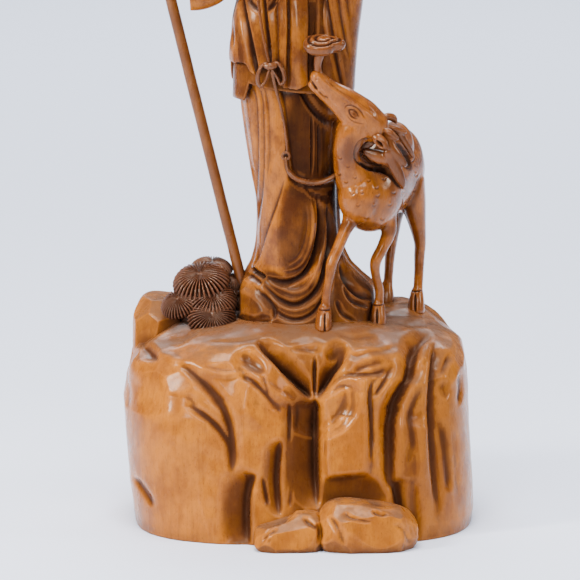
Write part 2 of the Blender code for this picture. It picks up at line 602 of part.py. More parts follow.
DEER_LEGS = [
    [(56, -40, 326, 12, 13), (53, -46, 309, 8.5, 10), (47, -53, 297, 6.3, 8), (40, -60, 281, 5.6, 7),
     (34, -65, 267, 5.6, 6.6), (32, -67, 254, 4.7, 5.4), (29, -67, 238, 4.4, 5.0), (28, -67, 222, 5.0, 5.8),
     (27, -67, 213, 6.6, 7.6)],
    [(88, -18, 326, 13, 14), (90, -22, 306, 9, 11), (91, -24, 292, 7.5, 9), (85, -27, 277, 6, 7),
     (78, -30, 263, 5.8, 6.6), (78, -28, 250, 4.8, 5.4), (82, -25, 232, 4.6, 5.2), (81, -25, 216, 5.2, 6),
     (81, -26, 208, 7, 8)],
    [(112, 42, 332, 17, 22), (117, 42, 310, 13, 17), (121, 42, 290, 9, 12), (124, 44, 270, 6.2, 8),
     (123.5, 45, 256, 5.6, 6.8), (123, 43, 240, 5, 5.8), (122, 40, 222, 5.2, 6), (121, 38, 211, 7.4, 8)],
    [(96, 58, 328, 14, 18), (99, 62, 306, 11, 14), (98, 66, 288, 8, 10), (96, 70, 266, 5.8, 7),
     (94, 71, 248, 5.2, 6.2), (93, 70, 232, 4.8, 5.6), (92, 69, 218, 5.4, 6.2), (91, 68, 212, 7, 8)],
]
DEER_HOOF = [(0, 0, 10, 6.6, 7.6), (-0.5, -2, 3, 8, 10), (-1, -4, -7, 9, 12)]
DEER_TAIL = [(104, 74, 352, 8, 6), (105, 84, 340, 7, 5), (104, 86, 326, 3, 3)]
# Ears and antlers, as rows of (across, down, y, half width, half depth) on the drawing
DEER_EARS = [
    [(371, 131, -66, 3.4, 4), (378, 138, -71, 6.0, 4), (385, 145, -73, 4.6, 3), (390, 151, -73, 1.4, 1.4)],
    [(381, 121, -50, 3.4, 4), (389, 116.5, -48, 4.2, 4), (396, 121, -47, 2.6, 3)],
]
DEER_ANTLERS = [
    [(382, 124, -58, 5, 5), (387, 134, -60, 5, 5), (391, 145, -61, 5, 5), (395, 152, -60, 4.6, 4.6),
     (401, 160, -58, 4.2, 4.2), (406, 167, -56, 2.4, 2.4)],
    [(391, 147, -61, 5, 4.6), (393, 160, -61, 5.4, 5), (398, 172, -59, 4.8, 4.8), (402, 181, -57, 3.8, 3.8),
     (403, 188, -54, 1.8, 1.8)],
    [(383, 129, -61, 3.2, 3.2), (391, 133, -64, 3.6, 3.4), (398.5, 140, -64, 2.8, 2.8)],
    [(386, 125, -57, 3, 3), (397, 129.5, -56, 3.2, 3), (405.5, 134, -54, 2.2, 2.2)],
    [(372, 152, -52, 4.4, 4), (382, 155, -56, 6.2, 5), (393, 160, -60, 5.4, 5)],
    [(396, 131, -56, 3, 3), (404, 140, -52, 3, 3), (411, 148, -48, 3.4, 3), (417, 158, -44, 2, 2)],
    [(373, 143, -50, 3, 3), (366, 148, -50, 5, 3), (360, 157, -48, 1.8, 1.8)],
]
LINGZHI_STEM = [(25, -70, 448, 3.6, 3.6), (20, -70, 462, 3.4, 3.4), (22, -70, 476, 5, 5)]
LINGZHI_CAP = (26, -68, 484, 20.5, 15, 8, 20.0)


def lingzhi_cap(columns=36, rings=12):
    """The fungus: a kidney-shaped cap with a low dome, tipped towards the viewer."""
    x, y, z, half_width, half_depth, height, tilt = LINGZHI_CAP
    angles = np.linspace(0, 2 * math.pi, columns, endpoint=False)
    kidney = 1 - 0.20 * np.exp(-((angles - 1.5 * math.pi - 0.7) / 0.28) ** 2)
    grid = []
    for t in np.linspace(-80, 84, rings):
        share = math.cos(math.radians(t)) ** 0.6
        grid.append(np.stack([half_width * share * kidney * np.cos(angles),
                              half_depth * share * kidney * np.sin(angles),
                              np.full(columns, math.sin(math.radians(t)) * height)], axis=1))
    c, s = math.cos(math.radians(tilt)), math.sin(math.radians(tilt))
    return np.array(grid) @ np.array([[1, 0, 0], [0, c, s], [0, -s, c]]) + np.array([x, y, z])


def both_sides(rows):
    """Rows of one side of the head, about its middle, as rows of either side of the placed head."""
    return [[(HEAD_PLACE[0] + side * x, HEAD_PLACE[1] + y, z, *half) for x, y, z, *half in rows]
            for side in (-1, 1)]


def immortal(shapes):
    """The robed figure."""
    for grid in (skirt(), inner_coat(), coat()):
        add_grid(shapes, grid)
    add_grid(shapes, limb(RIGHT_SLEEVE, sides=28, rings=22, cuff=12.0))
    add_grid(shapes, limb(LEFT_SLEEVE, sides=24, rings=22, cuff=12.0))
    for rows in (RIGHT_FOREARM, RIGHT_FIST, LEFT_FOREARM, LEFT_HAND):
        add_grid(shapes, limb(rows, sides=14, rings=10))
    for rows in [*BOW_LOOPS.values(), SWAG]:
        add_grid(shapes, limb(drawn_rows(rows), sides=12, rings=20))
    add_grid(shapes, shell(HEAD, columns=40, rings=20, squareness=2.05) + HEAD_PLACE)
    add_grid(shapes, shell(HAIR, columns=40, rings=16, squareness=2.05) + HEAD_PLACE + np.array([0, 3, 0]))
    add_grid(shapes, limb(HAIR_BUN, sides=18, rings=8))
    add_grid(shapes, limb(HAIR_TIE, sides=18, rings=4))
    add_grid(shapes, limb(NECK, sides=24, rings=8))
    for rows in FACE_PARTS + both_sides(EYELID) + both_sides(EAR_ON_HEAD):
        add_grid(shapes, limb(rows, sides=10, rings=8))


def deer(shapes):
    """The deer, its head turned up, with a lingzhi in its mouth."""
    upright = (0.0, 0.0, 1.0)
    for rows in (DEER_BODY, DEER_WITHERS):
        add_grid(shapes, limb(rows, sides=28, rings=18, reference=upright))
    for rows in (DEER_NECK, DEER_HEAD):
        add_grid(shapes, limb(rows, sides=24, rings=20))
    add_grid(shapes, limb(DEER_JAW, sides=12, rings=10))
    for rows in DEER_LEGS:
        add_grid(shapes, limb(rows, sides=14, rings=30))
        hoof = np.array(DEER_HOOF, float)
        hoof[:, :3] += np.array(rows[-1][:3])
        hoof[:, 2] -= 2
        add_grid(shapes, limb(hoof, sides=12, rings=6))
    add_grid(shapes, limb(DEER_TAIL, sides=10, rings=12))
    for rows in DEER_EARS + DEER_ANTLERS:
        add_grid(shapes, limb(drawn_rows(rows), sides=10, rings=16))
    add_grid(shapes, limb(LINGZHI_STEM, sides=10, rings=6))
    add_grid(shapes, lingzhi_cap())


def pines(shapes):
    """The heap of needle tufts beside the figure, on one core."""
    add_grid(shapes, limb(PINE_CORE, sides=20, rings=10))
    for tuft in PINE_TUFTS:
        add_grid(shapes, pine_tuft(*tuft))


def mesh_of(shapes, name):
    """One mesh holding all the shapes, still overlapping."""
    points = np.vstack([shape[0] for shape in shapes])
    faces = []
    start = 0
    for shape_points, shape_faces in shapes:
        faces += [tuple(index + start for index in face) for face in shape_faces]
        start += len(shape_points)
    mesh = bpy.data.meshes.new(name)
    mesh.from_pydata(points.tolist(), [], faces)
    mesh.update()
    return mesh


def applied(item):
    """Replace an object's mesh by its evaluated one, and clear its modifiers."""
    graph = bpy.context.evaluated_depsgraph_get()
    mesh = bpy.data.meshes.new_from_object(item.evaluated_get(graph))
    item.modifiers.clear()
    item.data = mesh


def flat_underside(item):
    """Cut the carving off flat at height 0."""
    work = bmesh.new()
    work.from_mesh(item.data)
    cut = bmesh.ops.bisect_plane(work, geom=work.verts[:] + work.edges[:] + work.faces[:],
                                 plane_co=(0, 0, 0), plane_no=(0, 0, -1), clear_outer=True)
    rim = [edge for edge in cut["geom_cut"] if isinstance(edge, bmesh.types.BMEdge)]
    for edge in rim:
        for vertex in edge.verts:
            vertex.co.z = 0.0
    bmesh.ops.triangle_fill(work, edges=rim, use_beauty=True, use_dissolve=False)
    bmesh.ops.recalc_face_normals(work, faces=work.faces[:])
    work.to_mesh(item.data)
    work.free()


def wood(name, colour, roughness):
    """Waxed boxwood."""
    material = bpy.data.materials.new(name)
    material.use_nodes = True
    shader = material.node_tree.nodes["Principled BSDF"]
    shader.inputs["Base Color"].default_value = (*colour, 1.0)
    shader.inputs["Roughness"].default_value = roughness
    shader.inputs["Metallic"].default_value = 0.0
    return material


# Staff: its foot in the rock and the direction that it leans in, from the front drawing
STAFF_FOOT = np.array([-48.0, 10.0, 205.0])
STAFF_HAND = np.array([-145.0, 8.0, 601.0])
# The knop below the staff's tip, in knop radii: its length, and its profile as (out, down)
KNOP_LENGTH = 3.2
KNOP_PROFILE = [(0.86, 2.7), (1.0, 1.9), (0.9, 1.0), (0.5, 0.2), (0.0, 0.0)]


def staff_line():
    """The staff's foot on the rock and its direction, in metres."""
    foot, hand = place_on_rock(STAFF_FOOT), place_on_rock(STAFF_HAND)
    direction = (hand - foot) / np.linalg.norm(hand - foot)
    return foot, direction


def staff_object(collection):
    """A straight rod with a turned knop at its head and a flat foot in its socket."""
    foot, direction = staff_line()
    radius, knop = STAFF_DIAMETER / 2, STAFF_KNOP_DIAMETER / 2
    profile = [(radius, STAFF_RISE - KNOP_LENGTH * knop)]
    profile += [(out * knop, STAFF_RISE - down * knop) for out, down in KNOP_PROFILE]
    outline = [(0.0, -SOCKET_DEPTH + FIT_GAP), (radius, -SOCKET_DEPTH + FIT_GAP)] + profile
    outline.reverse()
    mesh = bpy.data.meshes.new("staff")
    mesh.from_pydata([(r, 0.0, z) for r, z in outline],
                     [(i, i + 1) for i in range(len(outline) - 1)], [])
    item = bpy.data.objects.new("staff", mesh)
    collection.objects.link(item)
    turned = item.modifiers.new("Turned", "SCREW")
    turned.steps = 16
    turned.render_steps = 16
    turned.use_merge_vertices = True
    turned.merge_threshold = 0.00005
    point_along(item, foot, direction)
    item.data.materials.append(wood("Staff wood", (0.40, 0.17, 0.06), 0.42))
    return item


def point_along(item, foot, direction):
    """Stand an object at foot with its own Z along direction."""
    item.rotation_mode = "QUATERNION"
    item.rotation_quaternion = Vector(direction).to_track_quat("Z", "Y")
    item.location = foot


def staff_cutter(collection):
    """The bore that the staff fills, wider than it by the fit gap all round."""
    foot, direction = staff_line()
    length = STAFF_RISE + SOCKET_DEPTH
    bpy.ops.mesh.primitive_cylinder_add(vertices=24, radius=STAFF_DIAMETER / 2 + FIT_GAP * 1.1,
                                        depth=length)
    cutter = bpy.context.object
    cutter.name = "staff_bore"
    point_along(cutter, foot + direction * (length / 2 - SOCKET_DEPTH), direction)
    cutter.hide_render = True
    cutter.display_type = "WIRE"
    for owner in list(cutter.users_collection):
        owner.objects.unlink(cutter)
    collection.objects.link(cutter)
    return cutter


def carving_object(collection, cutters):
    """Rock, pines, immortal and deer, joined into one solid with a flat underside."""
    rocks, figures = [], []
    add_grid(rocks, rock())
    for sizes in STONES:
        add_grid(rocks, stone(*sizes))
    pines(figures)
    immortal(figures)
    deer(figures)
    shapes = [(place_rock(points), faces) for points, faces in rocks]
    shapes += [(place_on_rock(points), faces) for points, faces in figures]
    item = bpy.data.objects.new("carving", mesh_of(shapes, "carving"))
    collection.objects.link(item)
    joined = item.modifiers.new("Joined", "REMESH")
    joined.mode = "VOXEL"
    joined.voxel_size = VOXEL
    applied(item)
    flat_underside(item)
    count = sum(len(face.vertices) - 2 for face in item.data.polygons)
    fewer = item.modifiers.new("Facets", "DECIMATE")
    fewer.ratio = CARVING_TRIANGLES / count
    fewer.use_collapse_triangulate = True
    applied(item)
    bore = item.modifiers.new("Staff bore", "BOOLEAN")
    bore.operation = "DIFFERENCE"
    bore.solver = "EXACT"
    bore.object = staff_cutter(cutters)
    item.data.materials.clear()
    item.data.materials.append(wood("Boxwood", (0.46, 0.20, 0.07), 0.45))
    return item


def main():
    clear_scene()
    parts = bpy.data.collections.new("Boxwood immortal figure")
    cutters = bpy.data.collections.new("Cutters")
    bpy.context.scene.collection.children.link(parts)
    bpy.context.scene.collection.children.link(cutters)
    carving_object(parts, cutters)
    staff_object(parts)


main()
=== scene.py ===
"""The boxwood immortal figure: its carved surfaces, its wood and the light on it."""
import math

import bpy
import numpy as np
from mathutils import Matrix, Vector


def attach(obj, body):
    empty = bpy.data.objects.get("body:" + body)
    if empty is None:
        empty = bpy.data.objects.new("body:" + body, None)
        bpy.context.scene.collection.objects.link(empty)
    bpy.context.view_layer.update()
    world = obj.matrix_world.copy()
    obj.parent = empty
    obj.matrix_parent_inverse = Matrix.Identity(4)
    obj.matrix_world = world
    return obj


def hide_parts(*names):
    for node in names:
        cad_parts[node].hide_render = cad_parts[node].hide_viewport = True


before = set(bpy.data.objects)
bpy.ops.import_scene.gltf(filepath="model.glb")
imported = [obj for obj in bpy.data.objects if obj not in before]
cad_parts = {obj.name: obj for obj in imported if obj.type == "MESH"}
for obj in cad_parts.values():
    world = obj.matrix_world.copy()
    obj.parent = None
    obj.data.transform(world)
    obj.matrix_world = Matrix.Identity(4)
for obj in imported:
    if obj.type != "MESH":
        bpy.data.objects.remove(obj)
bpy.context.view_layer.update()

# Sizes of the model, in metres, and the carving's own small units
FIGURE_HEIGHT = 0.342
ROCK_HEIGHT = 0.117
ROCK_WIDTH = 0.200
ROCK_DEPTH = 0.168
STAFF_DIAMETER = 0.0063
FIGURE_UNITS = 600.0
ROCK_TOP_UNITS = 205.0
ROCK_WIDTH_UNITS = 350.0
ROCK_DEPTH_UNITS = 295.0
UNIT = FIGURE_HEIGHT / FIGURE_UNITS

# The front drawing that the relief is laid out on: 580 units square, seen from 10 degrees above
DRAWING_CENTRE = 290.0
DRAWING_AIM = np.array([-7.0, 0.0, 229.0])
DRAWING_DISTANCE = 4561.0
DRAWING_PITCH = math.radians(10)
TOWARDS_VIEWER = np.array([0.0, -math.cos(DRAWING_PITCH), math.sin(DRAWING_PITCH)])
FRAME_UNITS = 580.0


def place_on_rock(points):
    """Figure units to metres: what stands on the rock rises and sinks with its top."""
    rise = ROCK_HEIGHT + (points[..., 2] - ROCK_TOP_UNITS) * UNIT
    return np.stack([points[..., 0] * UNIT, points[..., 1] * UNIT, rise], axis=-1)


def place_rock(points):
    """Rock units to metres, by the rock's own width, depth and height."""
    size = np.array([ROCK_WIDTH / ROCK_WIDTH_UNITS, ROCK_DEPTH / ROCK_DEPTH_UNITS,
                     ROCK_HEIGHT / ROCK_TOP_UNITS])
    return points * size


def front_drawing(points):
    """Where each point shows on the front drawing, as (across, down)."""
    offset = points - DRAWING_AIM
    depth = DRAWING_DISTANCE - offset @ TOWARDS_VIEWER
    scale = DRAWING_DISTANCE / depth
    lift = offset[..., 1] * math.sin(DRAWING_PITCH) + offset[..., 2] * math.cos(DRAWING_PITCH)
    return np.stack([DRAWING_CENTRE + offset[..., 0] * scale, DRAWING_CENTRE - lift * scale], axis=-1)


def elevation(points):
    """A square-on front view, as (x, minus height), for what the front drawing doesn't reach."""
    return np.stack([points[..., 0], -points[..., 2]], axis=-1)


def on_drawing(across, down, y):
    """The point at depth y that shows at a place of the front drawing."""
    x, z = across - DRAWING_CENTRE + DRAWING_AIM[0], DRAWING_AIM[2] + DRAWING_CENTRE - down
    for _ in range(12):
        place = front_drawing(np.array([x, y, z]))
        x += across - place[0]
        z -= down - place[1]
    return x, y, z


def drawn_rows(rows):
    """Rows given by places on the drawing, as points of the figure with their half sizes."""
    return [(*on_drawing(across, down, y), *sizes) for across, down, y, *sizes in rows]


def smooth_curve(points, count):
    """A Catmull-Rom curve through the points, read at count even steps."""
    points = np.asarray(points, float)
    ends = np.vstack([2 * points[0] - points[1], points, 2 * points[-1] - points[-2]])
    steps = np.linspace(0, len(points) - 1, count)
    first = np.minimum(steps.astype(int), len(points) - 2)
    t = (steps - first)[:, None]
    a, b, c, d = (ends[first + k] for k in range(4))
    return 0.5 * (2 * b + (c - a) * t + (2 * a - 5 * b + 4 * c - d) * t ** 2
                  + (3 * b - a - 3 * c + d) * t ** 3)


def smooth_step(value, low, high):
    """0 below low, 1 above high, and an easy rise between."""
    t = np.clip((value - low) / (high - low), 0, 1)
    return t * t * (3 - 2 * t)


RIPPLE_WAVES = 7


def ripple(points, size, seed):
    """Gentle waves in many directions, from -1 to 1, with crests about size apart."""
    dice = np.random.RandomState(seed)
    total = np.zeros(points.shape[:-1])
    for _ in range(RIPPLE_WAVES):
        direction = dice.normal(size=3)
        direction /= np.linalg.norm(direction)
        length = size * dice.uniform(0.7, 1.5)
        total += np.sin(points @ direction * (2 * math.pi / length) + dice.uniform(0, 6.28))
    return total / math.sqrt(RIPPLE_WAVES) * 0.8


def grid_normals(grid):
    """Outward normals of a closed grid whose columns run counter-clockwise and whose rows rise."""
    around = np.roll(grid, -1, axis=1) - np.roll(grid, 1, axis=1)
    normals = np.cross(around, np.gradient(grid, axis=0))
    length = np.linalg.norm(normals, axis=-1, keepdims=True)
    return normals / np.maximum(length, 1e-9)


def segment_distance(spots, line):
    """Distance to a polyline, the side it lies on (+ is the viewer's left going down) and the share."""
    nearest = np.full(len(spots), 1e9)
    side = np.zeros(len(spots))
    share = np.zeros(len(spots))
    for index, (start, end) in enumerate(zip(line[:-1], line[1:])):
        edge = end - start
        t = np.clip((spots - start) @ edge / (edge @ edge), 0, 1)
        off = spots - start - t[:, None] * edge
        distance = np.hypot(off[:, 0], off[:, 1])
        closer = distance < nearest
        nearest[closer] = distance[closer]
        side[closer] = (edge[0] * off[:, 1] - edge[1] * off[:, 0])[closer]
        share[closer] = ((index + t) / (len(line) - 1))[closer]
    return nearest, side, share


def oval_shares(places, centre, half, turn):
    """How far places lie along and aside of an oval turned by degrees, as shares of its half sizes."""
    off = places - np.array(centre)
    c, s = math.cos(math.radians(turn)), math.sin(math.radians(turn))
    return (off[:, 0] * c + off[:, 1] * s) / half[0], (off[:, 1] * c - off[:, 0] * s) / half[1]


def shaded_and_stained(places, shade_and_stains):
    """How much painted shade each place gets, with a darker tone on the rock's top and the knoll's face: soft
    ovals (centre, half sizes, turn in degrees, amount).
    """
    dark = np.zeros(len(places))
    for centre, half, turn, amount in shade_and_stains:
        u, v = oval_shares(places, centre, half, turn)
        dark = np.maximum(dark, amount * smooth_step(1.25 - np.hypot(u, v), 0.0, 0.6))
    return dark


# A cut this deep, in figure units, gets the fullest painted shade
DARK_DEPTH = 8.0


def groove_depth(places, groove):
    """How deep a groove (points, left width, right width, depth) is at places, and how much painted shade it
    gets, darkest at its bottom.

    Left and right are the viewer's, on a groove that runs down the drawing. A groove with a
    negative depth is a ridge.
    """
    points, left, right, depth = groove
    line = smooth_curve(points, 5 * len(points))
    reach = max(left, right)
    cut = np.zeros(len(places))
    dark = np.zeros(len(places))
    near = np.all((places > line.min(axis=0) - reach) & (places < line.max(axis=0) + reach), axis=1)
    if not near.any():
        return cut, dark
    nearest, side, share = segment_distance(places[near], line)
    width = np.where(side > 0, left, right)
    taper = np.clip(1 - np.abs(2 * share - 1) ** 5, 0.0, 1)
    fall = np.clip(1 - nearest / (width * (0.3 + 0.7 * taper)), 0, 1)
    profile = fall ** 1.15 if depth > 0 else fall * fall * (3 - 2 * fall)
    cut[near] = depth * taper * profile
    start = np.clip((width - 4) / 16, 0.08, 0.62)
    strength = np.clip(depth / DARK_DEPTH, 0, 1) * taper
    dark[near] = strength * smooth_step((fall - start) / (1 - start), 0.0, 0.85)
    return cut, dark


def hollow_depth(places, hollow):
    """How deep an oval scoop (centre, half sizes, turn in degrees, depth) cuts at places.

    A negative depth is a swelling, which rises without an edge.
    """
    centre, half, turn, depth = hollow
    u, v = oval_shares(places, centre, half, turn)
    return depth * np.clip(1 - (u * u + v * v), 0, 1) ** (0.9 if depth > 0 else 2.0)


def panel_rise(places, panel):
    """How far a flat-topped panel (corners, edge width, rise) stands up at places."""
    corners, edge, rise = panel
    corners = np.array(corners, float)
    inside = np.zeros(len(places), bool)
    for (x1, y1), (x2, y2) in zip(corners, np.roll(corners, -1, axis=0)):
        if y1 == y2:
            continue
        spans = (y1 > places[:, 1]) != (y2 > places[:, 1])
        inside ^= spans & (places[:, 0] < (x2 - x1) * (places[:, 1] - y1) / (y2 - y1) + x1)
    distance = segment_distance(places, np.vstack([corners, corners[:1]]))[0]
    return rise * inside * smooth_step(distance, 0, edge)


def relief(places, grooves=(), hollows=(), panels=(), shade_and_stains=()):
    """Depth and painted shade of all the relief at places: cuts don't add up, but cuts and rises do."""
    sunk = np.zeros(len(places))
    raised = np.zeros(len(places))
    dark = np.zeros(len(places))
    for groove in grooves:
        depth, shade = groove_depth(places, groove)
        sunk = np.maximum(sunk, depth)
        raised = np.minimum(raised, depth)
        dark = np.maximum(dark, shade)
    for hollow in hollows:
        depth = hollow_depth(places, hollow)
        sunk = np.maximum(sunk, depth)
        raised = np.minimum(raised, depth)
        # painted shade in the scoops, the deeper the darker
        dark = np.maximum(dark, 0.4 * np.clip(depth / DARK_DEPTH, 0, 1))
    for panel in panels:
        raised -= panel_rise(places, panel)
    return sunk + raised, np.maximum(dark, shaded_and_stained(places, shade_and_stains))


def softened(field, passes):
    """Values on a grid closed round its columns, each drawn towards its neighbours."""
    for _ in range(passes):
        field = (np.roll(field, 1, axis=1) + 2 * field + np.roll(field, -1, axis=1)) / 4
        field[1:-1] = (field[:-2] + 2 * field[1:-1] + field[2:]) / 4
    return field


def carve(grid, grooves=(), hollows=(), panels=(), view=front_drawing, normals=None, shade_and_stains=(), soft=1):
    """Sink and raise the relief of a drawing on the side of a grid that faces it.

    Returns the carved grid and the painted shade of each of its points.
    """
    if normals is None:
        normals = grid_normals(grid)
    facing = smooth_step(normals @ TOWARDS_VIEWER, 0.0, 0.3)
    move, dark = relief(view(grid).reshape(-1, 2), grooves, hollows, panels, shade_and_stains)
    move = softened(move.reshape(facing.shape) * facing, soft)
    return grid - normals * move[..., None], softened(dark.reshape(facing.shape) * facing, soft)


def chip(grid, normals, spots, reach):
    """Cut flats: each spot (row, column, bite, tilt of the flat) levels what stands over its plane."""
    for row, column, bite, tilt in spots:
        start, normal = grid[row, column].copy(), normals[row, column] + tilt
        normal /= np.linalg.norm(normal)
        offset = grid - start
        over = np.clip(offset @ normal + bite, 0, None)
        near = 1 - smooth_step(np.linalg.norm(offset, axis=-1), 0.6 * reach, reach)
        grid = grid - normal * (over * near)[..., None]
    return grid


# Chips are placed by the rows and columns of a finer net, of which a grid has this share
CHIP_NET_COLUMNS = 448
CHIP_NET_SHARE = 0.8036


def chip_spots(seed, count, rows, bites, lean):
    """Seeded places, depths and leans of flats, within a span of the net's rows."""
    dice = np.random.RandomState(seed)
    return [(int(CHIP_NET_SHARE * dice.randint(*rows)),
             int(CHIP_NET_SHARE * dice.randint(0, CHIP_NET_COLUMNS)),
             dice.uniform(*bites), dice.normal(size=3) * lean) for _ in range(count)]


def crowded_angles(columns, crowd=0.55):
    """Angles all round, crowd of them denser in front, where the relief is finest."""
    turn = np.linspace(0, 2 * math.pi, columns, endpoint=False)
    return (turn - crowd * np.sin(turn) + 1.5 * math.pi) % (2 * math.pi)


def outline(angles, left, right, front, back, squareness):
    """Points of a squarish outline with its own half size on each of its four sides."""
    c, s = np.cos(angles), np.sin(angles)
    wide = np.where(c < 0, left, right)
    deep = np.where(s < 0, front, back)
    reach = (np.abs(c / wide) ** squareness + np.abs(s / deep) ** squareness) ** (-1 / squareness)
    return reach * c, reach * s


def shell(rows, angles, rings, squareness):
    """A loft of upright sections, each (height, left, right, front, back)."""
    levels = smooth_curve(rows, rings)
    grid = []
    for height, left, right, front, back in levels:
        middle = (right - left) / 2
        half = (right + left) / 2
        x, y = outline(angles, half, half, front, back, squareness)
        grid.append(np.stack([x + middle, y, np.full(len(angles), height)], axis=1))
    return np.array(grid)


# Rings of a limb's domed end, and the reference of a limb that lies level
DOME_RINGS = 6
UPRIGHT = (0.0, 0.0, 1.0)


def limb(rows, sides=32, rings=48, reference=(0.0, 1.0, 0.0), cuff=0.0):
    """A tube along rows of (x, y, z, half width, half depth), with domed ends or a hollow cuff."""
    curve = smooth_curve(rows, rings)
    centre, half = curve[:, :3], np.maximum(curve[:, 3:], 0.2)
    along = np.gradient(centre, axis=0)
    along /= np.linalg.norm(along, axis=1, keepdims=True)
    across = np.cross(along, np.array(reference))
    across /= np.linalg.norm(across, axis=1, keepdims=True)
    deep = np.cross(across, along)
    angles = np.linspace(0, 2 * math.pi, sides, endpoint=False)
    circle = np.stack([np.cos(angles), np.sin(angles)], axis=1)

    def ring(index, share, shift):
        u = across[index] * half[index, 0] * share
        v = -deep[index] * half[index, 1] * share
        return centre[index] + along[index] * shift + circle[:, :1] * u + circle[:, 1:] * v

    dome = np.radians(np.linspace(82, 12, DOME_RINGS))
    grid = [ring(0, math.cos(a), -math.sin(a) * half[0].min()) for a in dome]
    grid += [ring(i, 1.0, 0.0) for i in range(rings)]
    if cuff:
        grid += [ring(-1, share, -shift * cuff) for share, shift in
                 ((0.97, -0.10), (0.91, -0.06), (0.87, 0.15), (0.84, 0.6), (0.80, 1.0), (0.3, 1.1))]
    else:
        grid += [ring(-1, math.cos(a), math.sin(a) * half[-1].min()) for a in reversed(dome)]
    return np.array(grid)


# Rings that hollow_hem adds inside a hem and moves above it, and the wall as a share of the width
HEM_RINGS = 5
HEM_SETTLE_RINGS = 12
HEM_WALL = 0.05


def hollow_hem(grid, hem_heights, depth=14.0):
    """Bring a shell's lower rings down to the hem, and turn its underside up inside it."""
    middle = grid[0].mean(axis=0)
    settle = np.linspace(1, 0, HEM_SETTLE_RINGS)[:, None] ** 1.5
    lowest = grid[0, :, 2] - hem_heights
    grid = grid.copy()
    grid[:HEM_SETTLE_RINGS, :, 2] -= settle * lowest
    outer = grid[0]
    inner = []
    for share, rise in ((0.3, depth), (1 - 2.4 * HEM_WALL, depth), (1 - 1.6 * HEM_WALL, depth * 0.5),
                        (1 - 1.1 * HEM_WALL, 1.0), (1 - 0.6 * HEM_WALL, -0.6)):
        ring = middle + (outer - middle) * share
        ring[:, 2] = hem_heights + rise
        inner.append(ring)
    return np.concatenate([inner, grid])


def grid_faces(rows, columns):
    """Quads of a closed grid, and the fans that close it."""
    index = np.arange(rows * columns).reshape(rows, columns)
    following = np.roll(index, -1, axis=1)
    quads = np.stack([index[:-1], following[:-1], following[1:], index[1:]], axis=-1).reshape(-1, 4)
    bottom, top = rows * columns, rows * columns + 1
    first = [(b, a, bottom) for a, b in zip(index[0].tolist(), following[0].tolist())]
    last = [(a, b, top) for a, b in zip(index[-1].tolist(), following[-1].tolist())]
    return quads.tolist() + first + last


def mesh_from_grids(name, grids, place):
    """One mesh of one or more closed grids, in metres."""
    points, faces, start = [], [], 0
    for grid in grids:
        rows, columns = grid.shape[:2]
        ends = np.array([grid[0].mean(axis=0), grid[-1].mean(axis=0)])
        points.append(place(np.vstack([grid.reshape(-1, 3), ends])))
        faces += [tuple(i + start for i in face) for face in grid_faces(rows, columns)]
        start += rows * columns + 2
    mesh = bpy.data.meshes.new(name)
    mesh.from_pydata(np.vstack(points).tolist(), [], faces)
    mesh.update()
    return mesh


def read_vertices(mesh, what="co"):
    """A row of three for every vertex: its place or its normal."""
    values = np.empty(len(mesh.vertices) * 3)
    mesh.vertices.foreach_get(what, values)
    return values.reshape(-1, 3)


def relaxer(mesh):
    """A function that moves every vertex halfway to the middle of its neighbours."""
    edges = np.empty(len(mesh.edges) * 2, int)
    mesh.edges.foreach_get("vertices", edges)
    first, second = edges.reshape(-1, 2).T
    count = len(mesh.vertices)
    degree = np.maximum(np.bincount(edges, minlength=count), 1)[:, None]

    def relaxed(values):
        total = np.stack([np.bincount(first, values[second, k], count)
                          + np.bincount(second, values[first, k], count) for k in range(3)], axis=1)
        return 0.5 * values + 0.5 * total / degree

    return relaxed


# Relaxing steps that tell a sharp edge or a crease, and a broad hollow, from the surface around it
EDGE_STEPS, HOLLOW_STEPS = 4, 32
EDGE_RANGE, HOLLOW_RANGE = 0.00008, 0.0010


def write_layer(mesh, name, values):
    """Keep a number for every vertex, for the material to read."""
    layer = mesh.attributes.new(name, "FLOAT", "POINT")
    layer.data.foreach_set("value", values.astype(np.float32))


def add_shade_and_wear(mesh):
    """Write where the surface is an edge, a crease or a hollow: the material paints shade into creases and
    hollows, and paints edges lighter, as worn wood and highlight.
    """
    relaxed = relaxer(mesh)
    points, normals = read_vertices(mesh), read_vertices(mesh, "normal")
    smooth = points
    found = {}
    for step in range(1, HOLLOW_STEPS + 1):
        smooth = relaxed(smooth)
        if step in (EDGE_STEPS, HOLLOW_STEPS):
            found[step] = ((smooth - points) * normals).sum(axis=1)
    for name, step, reach in (("edge", EDGE_STEPS, EDGE_RANGE), ("hollow", HOLLOW_STEPS, HOLLOW_RANGE)):
        write_layer(mesh, name, np.clip(found[step] / reach, -1, 1))


def finish_piece(name, mesh, material, node="carving"):
    """Link a piece, shade it, colour it and tie it to the body that it belongs to."""
    add_shade_and_wear(mesh)
    mesh.shade_smooth()
    item = bpy.data.objects.new(name, mesh)
    bpy.context.scene.collection.objects.link(item)
    item.data.materials.append(material)
    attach(item, "root")
    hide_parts(node)


def grid_piece(name, grids, material, place=place_on_rock, dark=None):
    """A piece of closed grids. dark is the painted shade of the points of its first grid, kept as the cut
    layer.
    """
    mesh = mesh_from_grids(name, grids, place)
    values = np.zeros(len(mesh.vertices))
    if dark is not None:
        values[:dark.size] = dark.ravel()
    write_layer(mesh, "cut", values)
    finish_piece(name, mesh, material)


